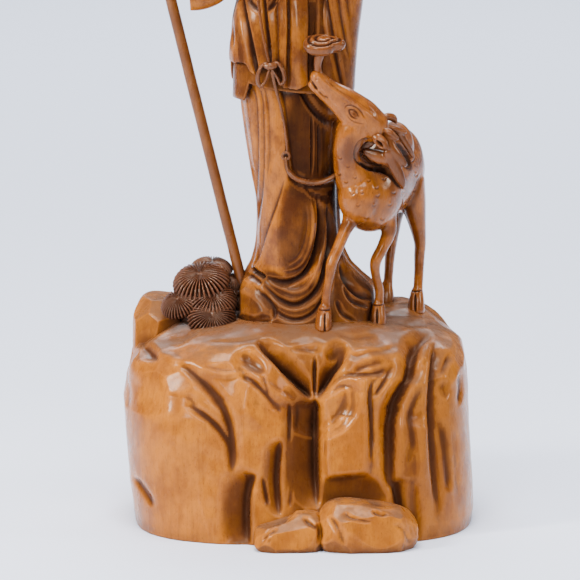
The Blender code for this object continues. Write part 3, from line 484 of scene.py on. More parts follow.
def remeshed(name, grids, voxel, relax_steps):
    """Overlapping grids joined into one skin, a little smoothed."""
    item = bpy.data.objects.new(name + "_joined", mesh_from_grids(name, grids, place_on_rock))
    bpy.context.scene.collection.objects.link(item)
    joined = item.modifiers.new("Joined", "REMESH")
    joined.mode = "VOXEL"
    joined.voxel_size = voxel
    graph = bpy.context.evaluated_depsgraph_get()
    mesh = bpy.data.meshes.new_from_object(item.evaluated_get(graph))
    bpy.data.objects.remove(item, do_unlink=True)
    relaxed = relaxer(mesh)
    points = read_vertices(mesh)
    for _ in range(relax_steps):
        points = relaxed(points)
    mesh.vertices.foreach_set("co", points.ravel())
    mesh.update()
    mesh.name = name
    return mesh


def to_units(points):
    """Metres back to figure units."""
    rise = (points[..., 2] - ROCK_HEIGHT) / UNIT + ROCK_TOP_UNITS
    return np.stack([points[..., 0] / UNIT, points[..., 1] / UNIT, rise], axis=-1)


def carve_mesh(mesh, grooves=(), hollows=(), shade_and_stains=()):
    """Sink and raise the relief on the side of a mesh that faces the drawing; returns its painted shade."""
    points, normals = read_vertices(mesh), read_vertices(mesh, "normal")
    facing = smooth_step(normals @ TOWARDS_VIEWER, 0.05, 0.35)
    move, dark = relief(front_drawing(to_units(points)), grooves, hollows, shade_and_stains=shade_and_stains)
    mesh.vertices.foreach_set("co", (points - normals * (move * facing * UNIT)[:, None]).ravel())
    mesh.update()
    return dark * facing


# Materials


def shader_node(tree, kind, **settings):
    node = tree.nodes.new(kind)
    for name, value in settings.items():
        setattr(node, name, value)
    return node


def noise(tree, coordinates, stretch, detail, roughness=0.55):
    """Noise whose cells are stretch metres long on each axis."""
    mapping = shader_node(tree, "ShaderNodeMapping")
    mapping.inputs["Scale"].default_value = tuple(1 / size for size in stretch)
    tree.links.new(coordinates, mapping.inputs["Vector"])
    texture = shader_node(tree, "ShaderNodeTexNoise")
    texture.inputs["Scale"].default_value = 1.0
    texture.inputs["Detail"].default_value = detail
    texture.inputs["Roughness"].default_value = roughness
    tree.links.new(mapping.outputs["Vector"], texture.inputs["Vector"])
    return texture.outputs["Fac"]


def span(tree, value, low, high, bottom=0.0, top=1.0):
    """Map low..high of a value to bottom..top, and hold it there beyond."""
    node = shader_node(tree, "ShaderNodeMapRange", interpolation_type="SMOOTHSTEP")
    node.inputs["From Min"].default_value = low
    node.inputs["From Max"].default_value = high
    node.inputs["To Min"].default_value = bottom
    node.inputs["To Max"].default_value = top
    tree.links.new(value, node.inputs["Value"])
    return node.outputs["Result"]


def combine(tree, operation, first, second):
    """A sum, product or the like of two numbers or output sockets, held within 0 and 1."""
    node = shader_node(tree, "ShaderNodeMath", operation=operation, use_clamp=True)
    for socket, value in zip(node.inputs, (first, second)):
        if isinstance(value, (int, float)):
            socket.default_value = value
        else:
            tree.links.new(value, socket)
    return node.outputs["Value"]


def mixed(tree, factor, first, second):
    """Mix two colours; each is a colour or an output socket."""
    node = shader_node(tree, "ShaderNodeMix", data_type="RGBA")
    tree.links.new(factor, node.inputs["Factor"])
    for socket, value in zip((node.inputs[6], node.inputs[7]), (first, second)):
        if isinstance(value, tuple):
            socket.default_value = (*value, 1.0)
        else:
            tree.links.new(value, socket)
    return node.outputs[2]


# The darkest painted shade, in the deepest cuts and most shut-in places, and the dust that lies on level
# faces
DEEP_SHADE_BROWN = (0.020, 0.008, 0.004)
DUST_BROWN = (0.120, 0.055, 0.028)


def boxwood(name, light, middle, stain_and_shade, dust=0.0, gloss=0.34, recess=0.016, shine=1.0):
    """Waxed boxwood: honey and brown blotches, upright grain, pores, painted shade in cuts, creases and
    hollows, and edges painted lighter as worn wood and highlight.
    """
    material = bpy.data.materials.new(name)
    material.use_nodes = True
    tree = material.node_tree
    shader = tree.nodes["Principled BSDF"]
    place = shader_node(tree, "ShaderNodeTexCoord").outputs["Object"]
    blotch = noise(tree, place, (0.024, 0.024, 0.036), 4)
    mottle = noise(tree, place, (0.0090, 0.0090, 0.0110), 6, 0.65)
    streak = noise(tree, place, (0.0016, 0.0016, 0.030), 3)
    fine = noise(tree, place, (0.0005, 0.0005, 0.006), 2)
    pore = noise(tree, place, (0.0004, 0.0004, 0.0022), 1)
    fleck = noise(tree, place, (0.0011, 0.0011, 0.0018), 2, 0.7)
    edge, hollow, cut = (shader_node(tree, "ShaderNodeAttribute", attribute_name=layer).outputs["Fac"]
                         for layer in ("edge", "hollow", "cut"))
    # painted shade from ambient occlusion: closed rises where the surface is shut in, within recess metres
    shut = shader_node(tree, "ShaderNodeAmbientOcclusion", samples=8)
    shut.inputs["Distance"].default_value = recess
    closed = combine(tree, "SUBTRACT", 1.0, shut.outputs["AO"])

    tone = combine(tree, "ADD", combine(tree, "MULTIPLY", blotch, 0.45),
                   combine(tree, "MULTIPLY", mottle, 0.55))
    colour = mixed(tree, span(tree, tone, 0.40, 0.60), middle, light)
    shade = tuple(0.62 * m for m in middle)
    # the lighter colour of edges: worn wood and painted highlight
    rubbed_and_highlight = tuple(min(1.0, 1.35 * c + 0.02) for c in light)
    # each colour goes over the ones before it, by an amount, where its mask lies between two values
    # streak, fine, pore and fleck are the grain; hollow, closed, cut and creases (edge above 0) lay painted
    # shade; edges below 0 get worn wood and painted highlight
    for mask, low, high, amount, over in (
            (streak, 0.46, 0.74, 0.38, shade), (fine, 0.5, 0.8, 0.20, shade), (pore, 0.66, 0.74, 0.5, stain_and_shade),
            (hollow, 0.05, 0.80, 0.75, stain_and_shade), (closed, 0.22, 0.75, 0.80, stain_and_shade),
            (cut, 0.05, 0.75, 0.90, stain_and_shade), (closed, 0.60, 0.95, 0.85, DEEP_SHADE_BROWN),
            (cut, 0.55, 1.0, 0.90, DEEP_SHADE_BROWN), (edge, 0.35, 1.0, 0.45, stain_and_shade),
            (edge, -0.40, -1.0, 0.15, rubbed_and_highlight), (fleck, 0.64, 0.74, 0.55, stain_and_shade)):
        colour = mixed(tree, combine(tree, "MULTIPLY", span(tree, mask, low, high), amount), colour, over)
    dull = span(tree, cut, 0.15, 0.75)
    if dust:
        up = shader_node(tree, "ShaderNodeSeparateXYZ")
        tree.links.new(shader_node(tree, "ShaderNodeNewGeometry").outputs["Normal"], up.inputs["Vector"])
        lying = span(tree, up.outputs["Z"], 0.45, 0.95)
        patch = span(tree, noise(tree, place, (0.010, 0.010, 0.010), 5), 0.36, 0.60, 0.35, 1.0)
        cover = combine(tree, "MULTIPLY", combine(tree, "MULTIPLY", lying, patch), dust)
        colour = mixed(tree, cover, colour, DUST_BROWN)
        dull = combine(tree, "MAXIMUM", dull, span(tree, cover, 0.0, 0.8))
    tree.links.new(span(tree, dull, 0.0, 1.0, 0.32 * shine, 0.06), shader.inputs["Specular IOR Level"])
    tree.links.new(span(tree, dull, 0.0, 1.0, 0.26 * shine, 0.02), shader.inputs["Coat Weight"])
    tree.links.new(colour, shader.inputs["Base Color"])

    rough = span(tree, noise(tree, place, (0.006, 0.006, 0.012), 4), 0.3, 0.7, gloss - 0.06, gloss + 0.12)
    tree.links.new(rough, shader.inputs["Roughness"])
    shader.inputs["IOR"].default_value = 1.45
    shader.inputs["Specular Tint"].default_value = (1.0, 0.70, 0.42, 1.0)
    shader.inputs["Coat Roughness"].default_value = 0.11
    bump = shader_node(tree, "ShaderNodeBump")
    bump.inputs["Strength"].default_value = 0.30
    bump.inputs["Distance"].default_value = 0.00020
    wave = noise(tree, place, (0.0042, 0.0042, 0.0060), 2, 0.5)
    grain = combine(tree, "ADD", combine(tree, "MULTIPLY", fine, 0.10),
                    combine(tree, "MULTIPLY", wave, 0.80))
    grain = combine(tree, "SUBTRACT", grain, combine(tree, "MULTIPLY", span(tree, pore, 0.62, 0.74), 0.12))
    tree.links.new(grain, bump.inputs["Height"])
    tree.links.new(bump.outputs["Normal"], shader.inputs["Normal"])
    return material


ROCK_WOOD = boxwood("rock_wood", (0.42, 0.128, 0.009), (0.27, 0.074, 0.006), (0.055, 0.017, 0.007),
                    dust=0.85, gloss=0.26, recess=0.020, shine=0.55)
ROBE_WOOD = boxwood("robe_wood", (0.35, 0.102, 0.008), (0.145, 0.037, 0.005), (0.024, 0.008, 0.005),
                    dust=0.4, gloss=0.21, recess=0.024, shine=0.72)
DEER_WOOD = boxwood("deer_wood", (0.28, 0.076, 0.006), (0.14, 0.034, 0.004), (0.030, 0.009, 0.005),
                    gloss=0.20, recess=0.022)
SKIN_WOOD = boxwood("skin_wood", (0.31, 0.092, 0.008), (0.24, 0.065, 0.006), (0.050, 0.013, 0.005),
                    gloss=0.28)
HAIR_WOOD = boxwood("hair_wood", (0.16, 0.045, 0.007), (0.11, 0.028, 0.005), (0.030, 0.009, 0.004),
                    gloss=0.28)
ANTLER_WOOD = boxwood("antler_wood", (0.16, 0.044, 0.008), (0.085, 0.022, 0.005), (0.030, 0.009, 0.005),
                      gloss=0.20)
SASH_WOOD = boxwood("sash_wood", (0.12, 0.034, 0.007), (0.06, 0.017, 0.005), (0.022, 0.008, 0.004),
                    gloss=0.20)
PINE_WOOD = boxwood("pine_wood", (0.120, 0.038, 0.014), (0.075, 0.023, 0.010), (0.012, 0.005, 0.003),
                    gloss=0.24)
STAFF_WOOD = boxwood("staff_wood", (0.17, 0.052, 0.010), (0.12, 0.034, 0.007), (0.06, 0.015, 0.005),
                     gloss=0.30)


# Rock: its sides as (height, left, right, front, back), and the heights of its shoulder all round
ROCK_COLUMNS, ROCK_SIDE_RINGS, ROCK_TOP_RINGS = 360, 90, 80
ROCK_SIDE = [
    (-8, 160, 173, 141, 148), (15, 163, 176, 140, 148), (45, 168, 176, 137, 147), (80, 171, 174, 133, 146),
    (120, 175, 170, 128, 144), (150, 171, 168, 122, 141), (185, 160, 164, 112, 138),
]
ROCK_SHOULDER_DEGREES = [0, 40, 90, 135, 158, 176, 190, 205, 235, 270, 300, 335, 360]
ROCK_SHOULDER_HEIGHTS = [168, 182, 172, 186, 192, 170, 152, 146, 140, 130, 124, 142, 168]
# Lumps of its top, as (x, y, radius, height)
ROCK_LUMPS = [
    (-142, 60, 30, 14), (-120, 30, 22, 5), (122, 44, 30, 6), (112, 84, 30, 8),
    (20, 105, 60, 6), (-60, 100, 40, 5), (-30, -66, 30, 4), (62, -66, 30, 4), (26, -76, 30, 7),
]
ROCK_HIDDEN_GROOVES = 11
ROCK_UNDER_ROWS = 4
ROCK_SQUARENESS = 2.9
ROCK_GROOVES = [
    # the chasm, the gap beside the wedge and the recess down the middle, steep on its right
    ([(257, 341), (275, 355), (290, 372), (303, 388), (312, 401)], 7, 12, 24),
    ([(345, 344), (340, 358), (332, 370), (324, 385), (316, 402)], 11, 6, 20),
    ([(316, 396), (315.5, 418), (315.5, 447), (316, 477), (318, 510)], 31, 7, 22),
    ([(312, 404), (310, 430), (309.5, 460), (311, 500)], 5, 4, 6),
    # two long curved cuts on the left face, the second forked
    ([(178, 363), (190, 373), (202, 385), (214, 399), (223, 412), (229, 433), (232, 455), (231, 482)],
     3, 12, 9),
    ([(185, 403), (202, 415), (214, 425), (223, 436), (229, 450), (230, 480)], 3, 6, 8),
    ([(186, 396), (192, 401), (198, 408)], 2.0, 2.5, 4),
    # small cuts below the rim
    ([(241, 377), (252, 382), (264, 394), (273, 405), (281, 412)], 2.0, 6, 6),
    ([(263, 376), (266, 386), (269, 397)], 1.8, 2.5, 5),
    ([(141, 346), (149, 351), (158, 360)], 5, 7, 6),
    ([(133, 476), (142, 490), (153, 507)], 3, 7, 5),
    ([(124, 372), (128, 390), (127, 410)], 4, 4, 2),
    # slits, the pointed valley and its double ridge, on the left wall of the recess
    ([(289, 403), (289.5, 424), (289, 445)], 2.5, 2.5, 9),
    ([(297, 403), (297, 418), (295, 434)], 2.5, 2.5, 8),
    ([(281, 440), (278, 462), (277, 485), (280, 516)], 17, 5, 12),
    ([(284, 448), (289, 462), (293, 476), (294, 492)], 1.8, 2.5, 3),
    ([(299, 436), (301, 468), (303, 500)], 2, 3, 4),
    ([(292, 478), (291, 492), (289, 508)], 2, 3, 3),
    ([(262, 476), (265, 492), (268, 508)], 2.5, 3, 8),
    ([(256, 474), (250, 486), (247, 505), (247, 528), (249, 548)], 29, 5, 16),
    # the block on the right, cut under at its foot, and its forked slit
    ([(325, 404), (326, 429), (324, 460)], 2, 2, 3),
    ([(322, 396), (330, 386), (337, 379)], 2, 3, 3),
    ([(330, 394), (336, 388), (345, 386), (352, 388)], 3.5, 2, 3),
    ([(354, 390), (361, 392), (368, 390)], 3, 2, 2.4),
    ([(372, 380), (369, 394), (370, 411), (371.5, 435), (370, 463)], 3, 3.5, 11),
    ([(386, 368), (379, 376), (371, 384)], 2.5, 2.5, 5),
    ([(393, 364), (384, 381), (373, 398)], 2.5, 4, 9),
    ([(350, 352), (356, 356), (380, 352), (400, 344)], 7, 3, 3),
    ([(352, 371), (366, 365), (384, 362)], 5, 2, 5),
    ([(344, 375), (363, 374), (379, 371), (388, 366)], 4, 2.5, 6),
    # the long dark cut: a plane falls to it from the left, and its right side is steep
    ([(432, 333), (420, 343), (416, 358), (414, 373), (406, 390), (398, 408), (394, 424), (393, 470),
      (394, 500)], 20, 5, 20),
    ([(423, 335), (430, 340)], 2.5, 2.5, 6),
    ([(433, 341), (434, 363), (433, 387), (432, 411), (433, 435), (435, 469), (437, 516)], 4, 12, 13),
    ([(421, 388), (414, 402), (409, 416), (411, 432), (415, 452)], 2.5, 4, 6),
    ([(428, 352), (423, 366), (414, 384)], 2, 3, 4),
    ([(449, 354), (446, 363), (442, 376)], 2.5, 3, 6),
    ([(444, 380), (447, 389), (446, 399)], 3.5, 3.5, 5),
    ([(439, 413), (445, 441), (448, 470), (449, 492)], 3, 5, 8),
    ([(460, 372), (461, 390), (459, 404)], 3, 3, 4),
    ([(452, 430), (456, 470), (458, 505)], 3, 4, 3),
    ([(396, 478), (399, 498), (404, 520), (408, 543)], 8, 16, 18),
    # fine checks in the wood and the lines that ripple over the top
    ([(208, 339), (205, 352), (200, 367)], 1.2, 1.2, 1.2),
    ([(238, 350), (235, 361), (232, 371)], 1.2, 1.2, 1.0),
    ([(384, 316), (400, 314), (425, 316)], 3, 3, 2.2),
    ([(396, 323), (414, 325), (440, 321)], 3, 3, 2.0),
    ([(336, 334), (356, 338), (380, 335)], 3, 3, 2.0),
    ([(206, 342), (240, 341), (270, 336)], 3, 3, 1.6),
    # rims that catch the light
    ([(160, 352), (170, 356), (181, 363)], 4, 3, -2.2),
    ([(200, 367), (214, 372), (228, 374), (243, 372)], 6, 3, -2.4),
    ([(262, 344), (286, 347), (318, 345)], 5, 3, -2.0),
    ([(240, 362), (262, 382), (282, 396), (296, 406)], 8, 5, -3.4),
    ([(402, 420), (400, 450), (400, 480)], 3, 4, -2.0),
]
ROCK_HOLLOWS = [
    ((337, 352), (13, 11), -30, 13),
    ((253, 363), (17, 8.5), 40, 4.5),
    ((150, 354), (9, 8), 0, 5),
    ((411, 512), (14, 34), 0, 10),
    ((350, 500), (46, 26), 0, 8),
    ((307, 349), (14, 4), 2, 2.5),
    ((444, 389), (4.5, 7), 0, 5),
    ((372, 356), (26, 16), 0, -6),
    ((300, 366), (20, 22), 0, -4),
    ((423, 352), (9, 11), 0, -6),
    ((170, 440), (46, 78), 0, -6),
    ((255, 400), (30, 34), 20, -3),
    ((402, 440), (8, 50), 4, -3),
    ((422, 460), (7, 60), 0, -3),
]
ROCK_PANELS = [
    ([(321, 400), (335, 379), (349, 374), (371, 376), (371, 460), (369, 475), (325, 479)], 4, 6),
]
# Soft ovals of painted shade in the rock's cuts, chasm, wedge, recesses and cave, under the block's foot and
# by the knoll, and darker bands over the top
ROCK_SHADE_AND_STAINS = [
    ((302, 362), (30, 30), 0, 0.46), ((238, 514), (18, 40), 0, 0.56), ((276, 482), (15, 40), 0, 0.44),
    ((300, 448), (21, 76), 0, 0.60), ((340, 370), (20, 14), -20, 0.34), ((350, 492), (44, 17), 0, 0.56),
    ((408, 440), (15, 96), 6, 0.46), ((434, 430), (26, 120), 0, 0.38), ((142, 495), (14, 20), 0, 0.25),
    ((222, 430), (14, 54), -20, 0.20), ((392, 354), (26, 26), -30, 0.30), ((462, 420), (12, 110), 0, 0.26),
    ((300, 326), (170, 24), 0, 0.50), ((420, 318), (50, 16), 0, 0.24), ((158, 343), (26, 6), 0, 0.50),
]
# Darker colour over the knoll's face, and painted shade at its foot
KNOLL_SHADE_AND_STAINS = [((160, 322), (38, 40), 0, 0.40), ((158, 343), (28, 9), 0, 0.66)]
LEAF_SLIT = [([(314.5, 356), (314.5, 378), (314.5, 400)], 3.2, 3.2, 9)]


def rock_grid(angles):
    """The rock as rows from under its foot, up its side and over its top to the middle."""
    columns = len(angles)
    degrees = np.degrees(angles)
    spread = np.linspace(-12, 12, 9)
    shoulder = np.mean([np.interp((degrees + s) % 360, ROCK_SHOULDER_DEGREES, ROCK_SHOULDER_HEIGHTS)
                        for s in spread], axis=0)
    table = np.array(ROCK_SIDE, float)

    def ring(heights, share):
        sides = [np.interp(heights, table[:, 0], table[:, k]) for k in range(1, 5)]
        x, y = outline(angles, *sides, ROCK_SQUARENESS)
        return np.stack([x * share, y * share, heights], axis=1)

    grid = [ring(np.zeros(columns), share) for share in (0.3, 0.6, 0.9, 0.985)]
    for t in np.linspace(0, 1, ROCK_SIDE_RINGS):
        grid.append(ring(shoulder * t, 1.0))
    for t in np.linspace(0, 1, ROCK_TOP_RINGS + 2)[1:-1]:
        share = math.cos(t * math.pi / 2) ** (2 / 2.5)
        rise = math.sin(t * math.pi / 2) ** (2 / 2.5)
        lift = np.column_stack([np.zeros((columns, 2)), (ROCK_TOP_UNITS + 1 - shoulder) * rise])
        grid.append(ring(shoulder, share) + lift)
    return np.array(grid)


def hidden_cuts(grid, normals):
    """Flutes and facets on the side of the rock that the front drawing doesn't show."""
    outward = normals[..., :2] / np.maximum(np.linalg.norm(normals[..., :2], axis=-1, keepdims=True), 1e-6)
    hidden = smooth_step(outward[..., 1], -0.15, 0.25)
    angle = np.arctan2(grid[..., 1], grid[..., 0])
    height = grid[..., 2]
    wander = 0.07 * np.sin(height / 44.0) + 0.03 * np.sin(height / 17.0 + 2.0)
    wave = (angle + wander) * ROCK_HIDDEN_GROOVES / (2 * math.pi)
    deepness = 8.0 + 5.0 * np.sin(height / 38.0 + 2.5 * angle)
    cut = deepness * np.clip(1 - np.abs((wave % 1.0) - 0.5) * 5.0, 0, 1) ** 1.2
    facets = 3.0 * np.sin(3 * angle + height / 27.0) + 2.2 * np.sin(7 * angle - height / 19.0)
    on_side = 1 - smooth_step(height, 172, 205)
    on_side[:ROCK_UNDER_ROWS] = 0.0
    return outward * (hidden * on_side * (cut + facets))[..., None]


def build_rock():
    grid = rock_grid(crowded_angles(ROCK_COLUMNS))
    upper = smooth_step(grid[..., 2], 120, 190)
    for x, y, radius, height in ROCK_LUMPS:
        spread = ((grid[..., 0] - x) ** 2 + (grid[..., 1] - y) ** 2) / radius ** 2
        grid[..., 2] += upper * height * np.exp(-spread)
    normals = grid_normals(grid)
    grid[..., :2] -= hidden_cuts(grid, normals)
    side = chip_spots(9, 30, (12, 96), (0.2, 0.6), 0.03)
    rim = chip_spots(8, 46, (124, 162), (0.5, 1.8), 0.1)
    grid = chip(chip(grid, normals, side, 80.0), normals, rim, 44.0)
    grid, dark = carve(grid, ROCK_GROOVES, ROCK_HOLLOWS, ROCK_PANELS, normals=normals,
                       shade_and_stains=ROCK_SHADE_AND_STAINS, soft=2)
    grid, slit = carve(grid, LEAF_SLIT, normals=normals)
    wavy = 0.5 * ripple(grid, 70, 3) + 0.12 * ripple(grid, 17, 5)
    wavy[:ROCK_UNDER_ROWS + 1] = 0.0
    grid = grid - normals * wavy[..., None]
    grid[:ROCK_UNDER_ROWS + 1, :, 2] = 0.0
    # dark and slit are painted shade in the cuts, scoops and ovals and in the leaf slit
    grid_piece("rock", [grid], ROCK_WOOD, place_rock, np.maximum(dark, slit))


# Stones: name, (middle x, y, foot z, half width, half depth, height, tilt of the top)
BOULDER_COLUMNS, BOULDER_RINGS = 120, 68
BOULDERS = {
    "boulder_1": (-7, -150, 0, 38, 26, 30, 0.20),
    "boulder_2": (66, -146, 0, 49, 32, 45, -0.07),
    "knoll": (-132, 30, 150, 32, 46, 69, -0.05),
}
# Flats that square off a stone: turn and rise of the side in degrees, share of its reach that is left
STONE_FLATS = [
    (-92, 8, 0.90), (-138, 14, 0.87), (-44, 12, 0.86), (-104, 52, 0.86), (-62, 58, 0.90), (-20, 40, 0.87),
    (-165, 42, 0.86), (178, 4, 0.95), (2, -6, 0.95), (90, 30, 0.90), (-75, 86, 0.93), (-116, -24, 0.93),
    (-48, -20, 0.93),
]
BOULDER_GROOVES = [
    ([(262, 543), (270, 533), (276, 528)], 3, 3, 3),
    ([(266, 545), (271, 538)], 2, 2, 2),
    ([(303, 517), (311, 524), (318, 529)], 3, 4, 5),
    ([(317, 522), (320, 532), (318, 545)], 3, 3, 3),
    ([(372, 510), (380, 514), (388, 514)], 3, 3, 4),
    ([(344, 512), (352, 518), (372, 522)], 3, 3, 3),
    ([(330, 516), (338, 530), (344, 545)], 3, 4, 4),
    ([(396, 524), (404, 532), (410, 545)], 3, 3, 3),
]


def boulder_grid(x, y, foot, half_width, half_depth, height, tilt):
    """A squarish lumpy stone, from under its foot to its top."""
    angles = crowded_angles(BOULDER_COLUMNS, 0.4)
    grid = []
    for t in np.linspace(0.0, 0.985, BOULDER_RINGS):
        turn = (t - 0.42) * math.pi / 1.16
        share = max(math.cos(turn), 0.02) ** 0.5
        level = math.copysign(abs(math.sin(turn)) ** 0.62, turn)
        px, py = outline(angles, half_width, half_width, half_depth, half_depth, 3.1)
        lump = 1 + 0.05 * np.sin(3 * angles + 1.0 + 2 * t) + 0.03 * np.sin(5 * angles + 4 * t)
        z = foot + height * (0.42 + 0.58 * level) + tilt * px * max(level, 0)
        grid.append(np.stack([x + px * share * lump, y + py * share * lump, z], axis=1))
    return np.array(grid)


def flattened(grid, middle, twist):
    """A stone with its flats cut, all turned by twist degrees."""
    for turn, rise, share in STONE_FLATS:
        turn, rise = math.radians(turn + twist), math.radians(rise)
        level = math.cos(rise)
        side = np.array([level * math.cos(turn), level * math.sin(turn), math.sin(rise)])
        reach = (grid - middle) @ side
        grid = grid - side * np.clip(reach - share * reach.max(), 0, None)[..., None]
    return grid


def build_boulders():
    for number, (name, sizes) in enumerate(BOULDERS.items(), 1):
        x, y, foot, _, _, height, _ = sizes
        grid = boulder_grid(*sizes)
        normals = grid_normals(grid)
        grid = flattened(grid, np.array([x, y, foot + 0.42 * height]), 5 * number)
        if foot == 0:
            grid, dark = carve(grid, BOULDER_GROOVES, normals=normals)
        else:
            grid, dark = carve(grid, normals=normals, shade_and_stains=KNOLL_SHADE_AND_STAINS)
        grid[..., 2] = np.maximum(grid[..., 2], 0.0)
        # dark is painted shade in the cuts, and on the knoll in its ovals
        grid_piece(name, [grid], ROCK_WOOD, place_rock, dark)


# Pine tufts: (apex x, y, z, radius, lean towards the viewer, lean to the right), leans in degrees
PINE_TUFTS = [
    (-85, 14, 256, 20, 14, 4), (-97, -8, 247, 27, 30, -8), (-119, -20, 224, 19, 34, -22),
    (-84, -22, 229, 24, 36, 4), (-84, -38, 212, 23, 46, 4), (-68, 6, 242, 15, 26, 26),
    (-61, -6, 224, 13, 34, 34),
]
PINE_RIBS, PINE_RINGS = 34, 22
PINE_RIB_RISE = 0.10
PINE_CORE = [(-94, 6, 190, 26, 26), (-92, 4, 212, 22, 20), (-90, 6, 234, 12, 12)]


def pine_tuft(x, y, z, radius, lean_front, lean_right):
    """A bundle of needles: a shallow dome, ribbed from its apex to its rim, hollow below."""
    columns = PINE_RIBS * 6
    angles = np.linspace(0, 2 * math.pi, columns, endpoint=False)
    ribs = PINE_RIB_RISE * np.abs(np.cos(PINE_RIBS / 2 * angles)) * 2 - PINE_RIB_RISE
    circle = np.stack([np.cos(angles), np.sin(angles)], axis=1)
    grid = []
    for share, depth in ((0.3, 0.4), (0.7, 0.48), (0.9, 0.56)):
        grid.append(np.column_stack([radius * share * circle, np.full(columns, -depth * radius)]))
    for t in np.linspace(1, 0.05, PINE_RINGS):
        reach = radius * math.sin(t * math.pi / 2) ** 0.85 * (1 + 0.8 * ribs * t)
        drop = 0.54 * radius * (1 - math.cos(t * math.pi / 2))
        swell = min(1.0, 2.5 * t)
        grid.append(np.column_stack([reach[:, None] * circle, -drop + radius * ribs * swell]))
    grid = np.array(grid)
    front, right = math.radians(lean_front), math.radians(lean_right)
    turn_front = np.array([[1, 0, 0], [0, math.cos(front), -math.sin(front)],
                           [0, math.sin(front), math.cos(front)]])
    turn_right = np.array([[math.cos(right), 0, math.sin(right)], [0, 1, 0],
                           [-math.sin(right), 0, math.cos(right)]])
    return grid @ (turn_right @ turn_front).T + np.array([x, y, z])


def build_pines():
    grid_piece("pine_core", [limb(PINE_CORE, sides=48, rings=30)], PINE_WOOD)
    for number, tuft in enumerate(PINE_TUFTS, 1):
        grid = pine_tuft(*tuft)
        turn = np.linspace(0, 2 * math.pi, grid.shape[1], endpoint=False)
        # painted shade in the valleys between the ribs
        valley = smooth_step(1 - np.abs(np.cos(PINE_RIBS / 2 * turn)), 0.15, 0.75)
        grid_piece(f"pine_tuft_{number}", [grid], PINE_WOOD, dark=np.tile(valley, (len(grid), 1)))


# Robe: sections as (height, left, right, front, back), measured from the figure's axis
SKIRT_COLUMNS, SKIRT_RINGS = 288, 172
COAT_COLUMNS, COAT_RINGS, INNER_RINGS = 304, 168, 30
SKIRT = [
    (196, 62, 80, 60, 62), (206, 61, 79, 62, 62), (220, 58, 79, 57, 60), (234, 57, 76, 51, 57),
    (249, 49, 61, 46, 53), (262, 43, 50, 43, 49), (285, 39, 42, 42, 45), (325, 40, 40, 42, 42),
    (356, 45, 41, 42, 42), (396, 51, 43, 41, 42), (432, 55, 46, 40, 42), (480, 55, 45, 38, 40),
    (530, 50, 41, 35, 37),
]
COAT = [
    (452, 66, 46, 46, 46), (470, 67, 47, 45, 45), (500, 64, 46, 42, 43), (526, 58, 43, 38, 40),
    (560, 55, 46, 38, 41), (600, 58, 53, 38, 43), (636, 59, 58, 34, 41), (656, 46, 46, 28, 34),
    (668, 32, 30, 22, 26), (678, 23, 15, 17, 19), (683, 20, 11, 13, 16),
]
INNER_COAT = [(440, 64, 44, 43, 44), (462, 62, 42, 38, 40), (478, 50, 34, 26, 30)]
# Hems in front, as places of the drawing across and down, and the height of the rest behind
COAT_HEM = [(222, 58), (227, 62), (235, 66), (238, 60), (244, 62), (250, 72), (256, 76), (264, 62),
            (272, 66), (283, 87), (297, 89), (311, 83), (330, 88), (350, 90)]
INNER_HEM = [(222, 98), (233, 101), (243, 102), (248, 84), (262, 88), (300, 93), (350, 96)]
COAT_BACK_HEM, INNER_BACK_HEM = 440, 428
HEM_FRONT = -42.0
SKIRT_GROOVES = [
    # upright folds down the left of the skirt
    ([(251, 84), (256, 103), (257, 163), (255, 206), (252, 240)], 5, 2.5, 2.6),
    ([(258, 84), (262.5, 103), (263, 163), (260, 205), (257, 226)], 3.5, 2.5, 2.4),
    ([(264, 86), (268, 110), (269, 150), (266, 180)], 2, 7, 1.8),
    # the edge that falls from the sash to the foot, higher on its right
    ([(285, 178), (277, 206), (268, 232), (259, 256), (250, 268)], 8, 1.8, 3.2),
    # beside and inside the overlapping front panel
    ([(299, 84), (306, 98), (316, 111), (326, 119), (334, 124)], 4, 1.8, 6),
    ([(313, 116), (313.5, 144), (313, 176)], 1.6, 3, 3.5),
    ([(321, 124), (322, 150), (322, 176)], 2, 4, 3),
    # the shadow under the sash
    ([(287, 176), (300, 185), (315, 188), (334, 184)], 2.5, 9, 7),
    ([(303, 187), (315, 196), (330, 202)], 2, 3, 4),
    # the knee's fold turning under, then the folds of the train round it
    ([(317, 198), (320, 217), (318, 240), (311, 262), (300, 275), (284, 281), (266, 277)], 3, 8, 10),
    ([(266, 277), (254, 270), (246, 262)], 3, 10, 8),
    ([(328, 205), (331, 232), (327, 258), (317, 288), (298, 303), (280, 299), (262, 284)], 3, 6, 7),
    ([(262, 284), (252, 276), (243, 270)], 3, 7, 6),
    ([(334, 262), (327, 290), (313, 312), (296, 319), (279, 313), (262, 295), (247, 277)], 2.5, 5, 4),
    ([(328, 206), (329, 228), (328, 250)], 3, 3, 6),
    # the curl of the hem at the left
    ([(258, 292), (267, 300), (273, 309), (274, 319)], 2, 6, 6),
    ([(236, 319), (254, 326), (272, 320)], 2, 4, 3),
    # folds behind the deer's leg
    ([(340, 262), (345, 280), (357, 294), (372, 300)], 3, 8, 7),
    ([(344, 286), (352, 300), (368, 308)], 3, 5, 5),
    ([(336, 300), (343, 314), (356, 322)], 3, 4, 4),
    # rounded edges that catch the light
    ([(284, 116), (285, 140), (284, 160)], 3, 2, -1.2),
    ([(306, 206), (307, 222), (304, 242), (297, 257), (286, 264)], 6, 2.5, 1.6),
    ([(311, 200), (313.5, 217), (311, 241), (303, 262), (290, 270), (274, 270)], 4, 3, -3.0),
    ([(323, 206), (326, 232), (321, 258), (309, 286), (294, 293), (276, 287)], 5, 3.0, -2.0),
    ([(330, 250), (324, 290), (310, 306), (294, 311), (278, 305), (262, 290)], 4, 2.5, -1.4),
]
SKIRT_HOLLOWS = [
    ((284, 234), (34, 56), 6, -5),
    ((300, 274), (13, 20), 40, 3),
]
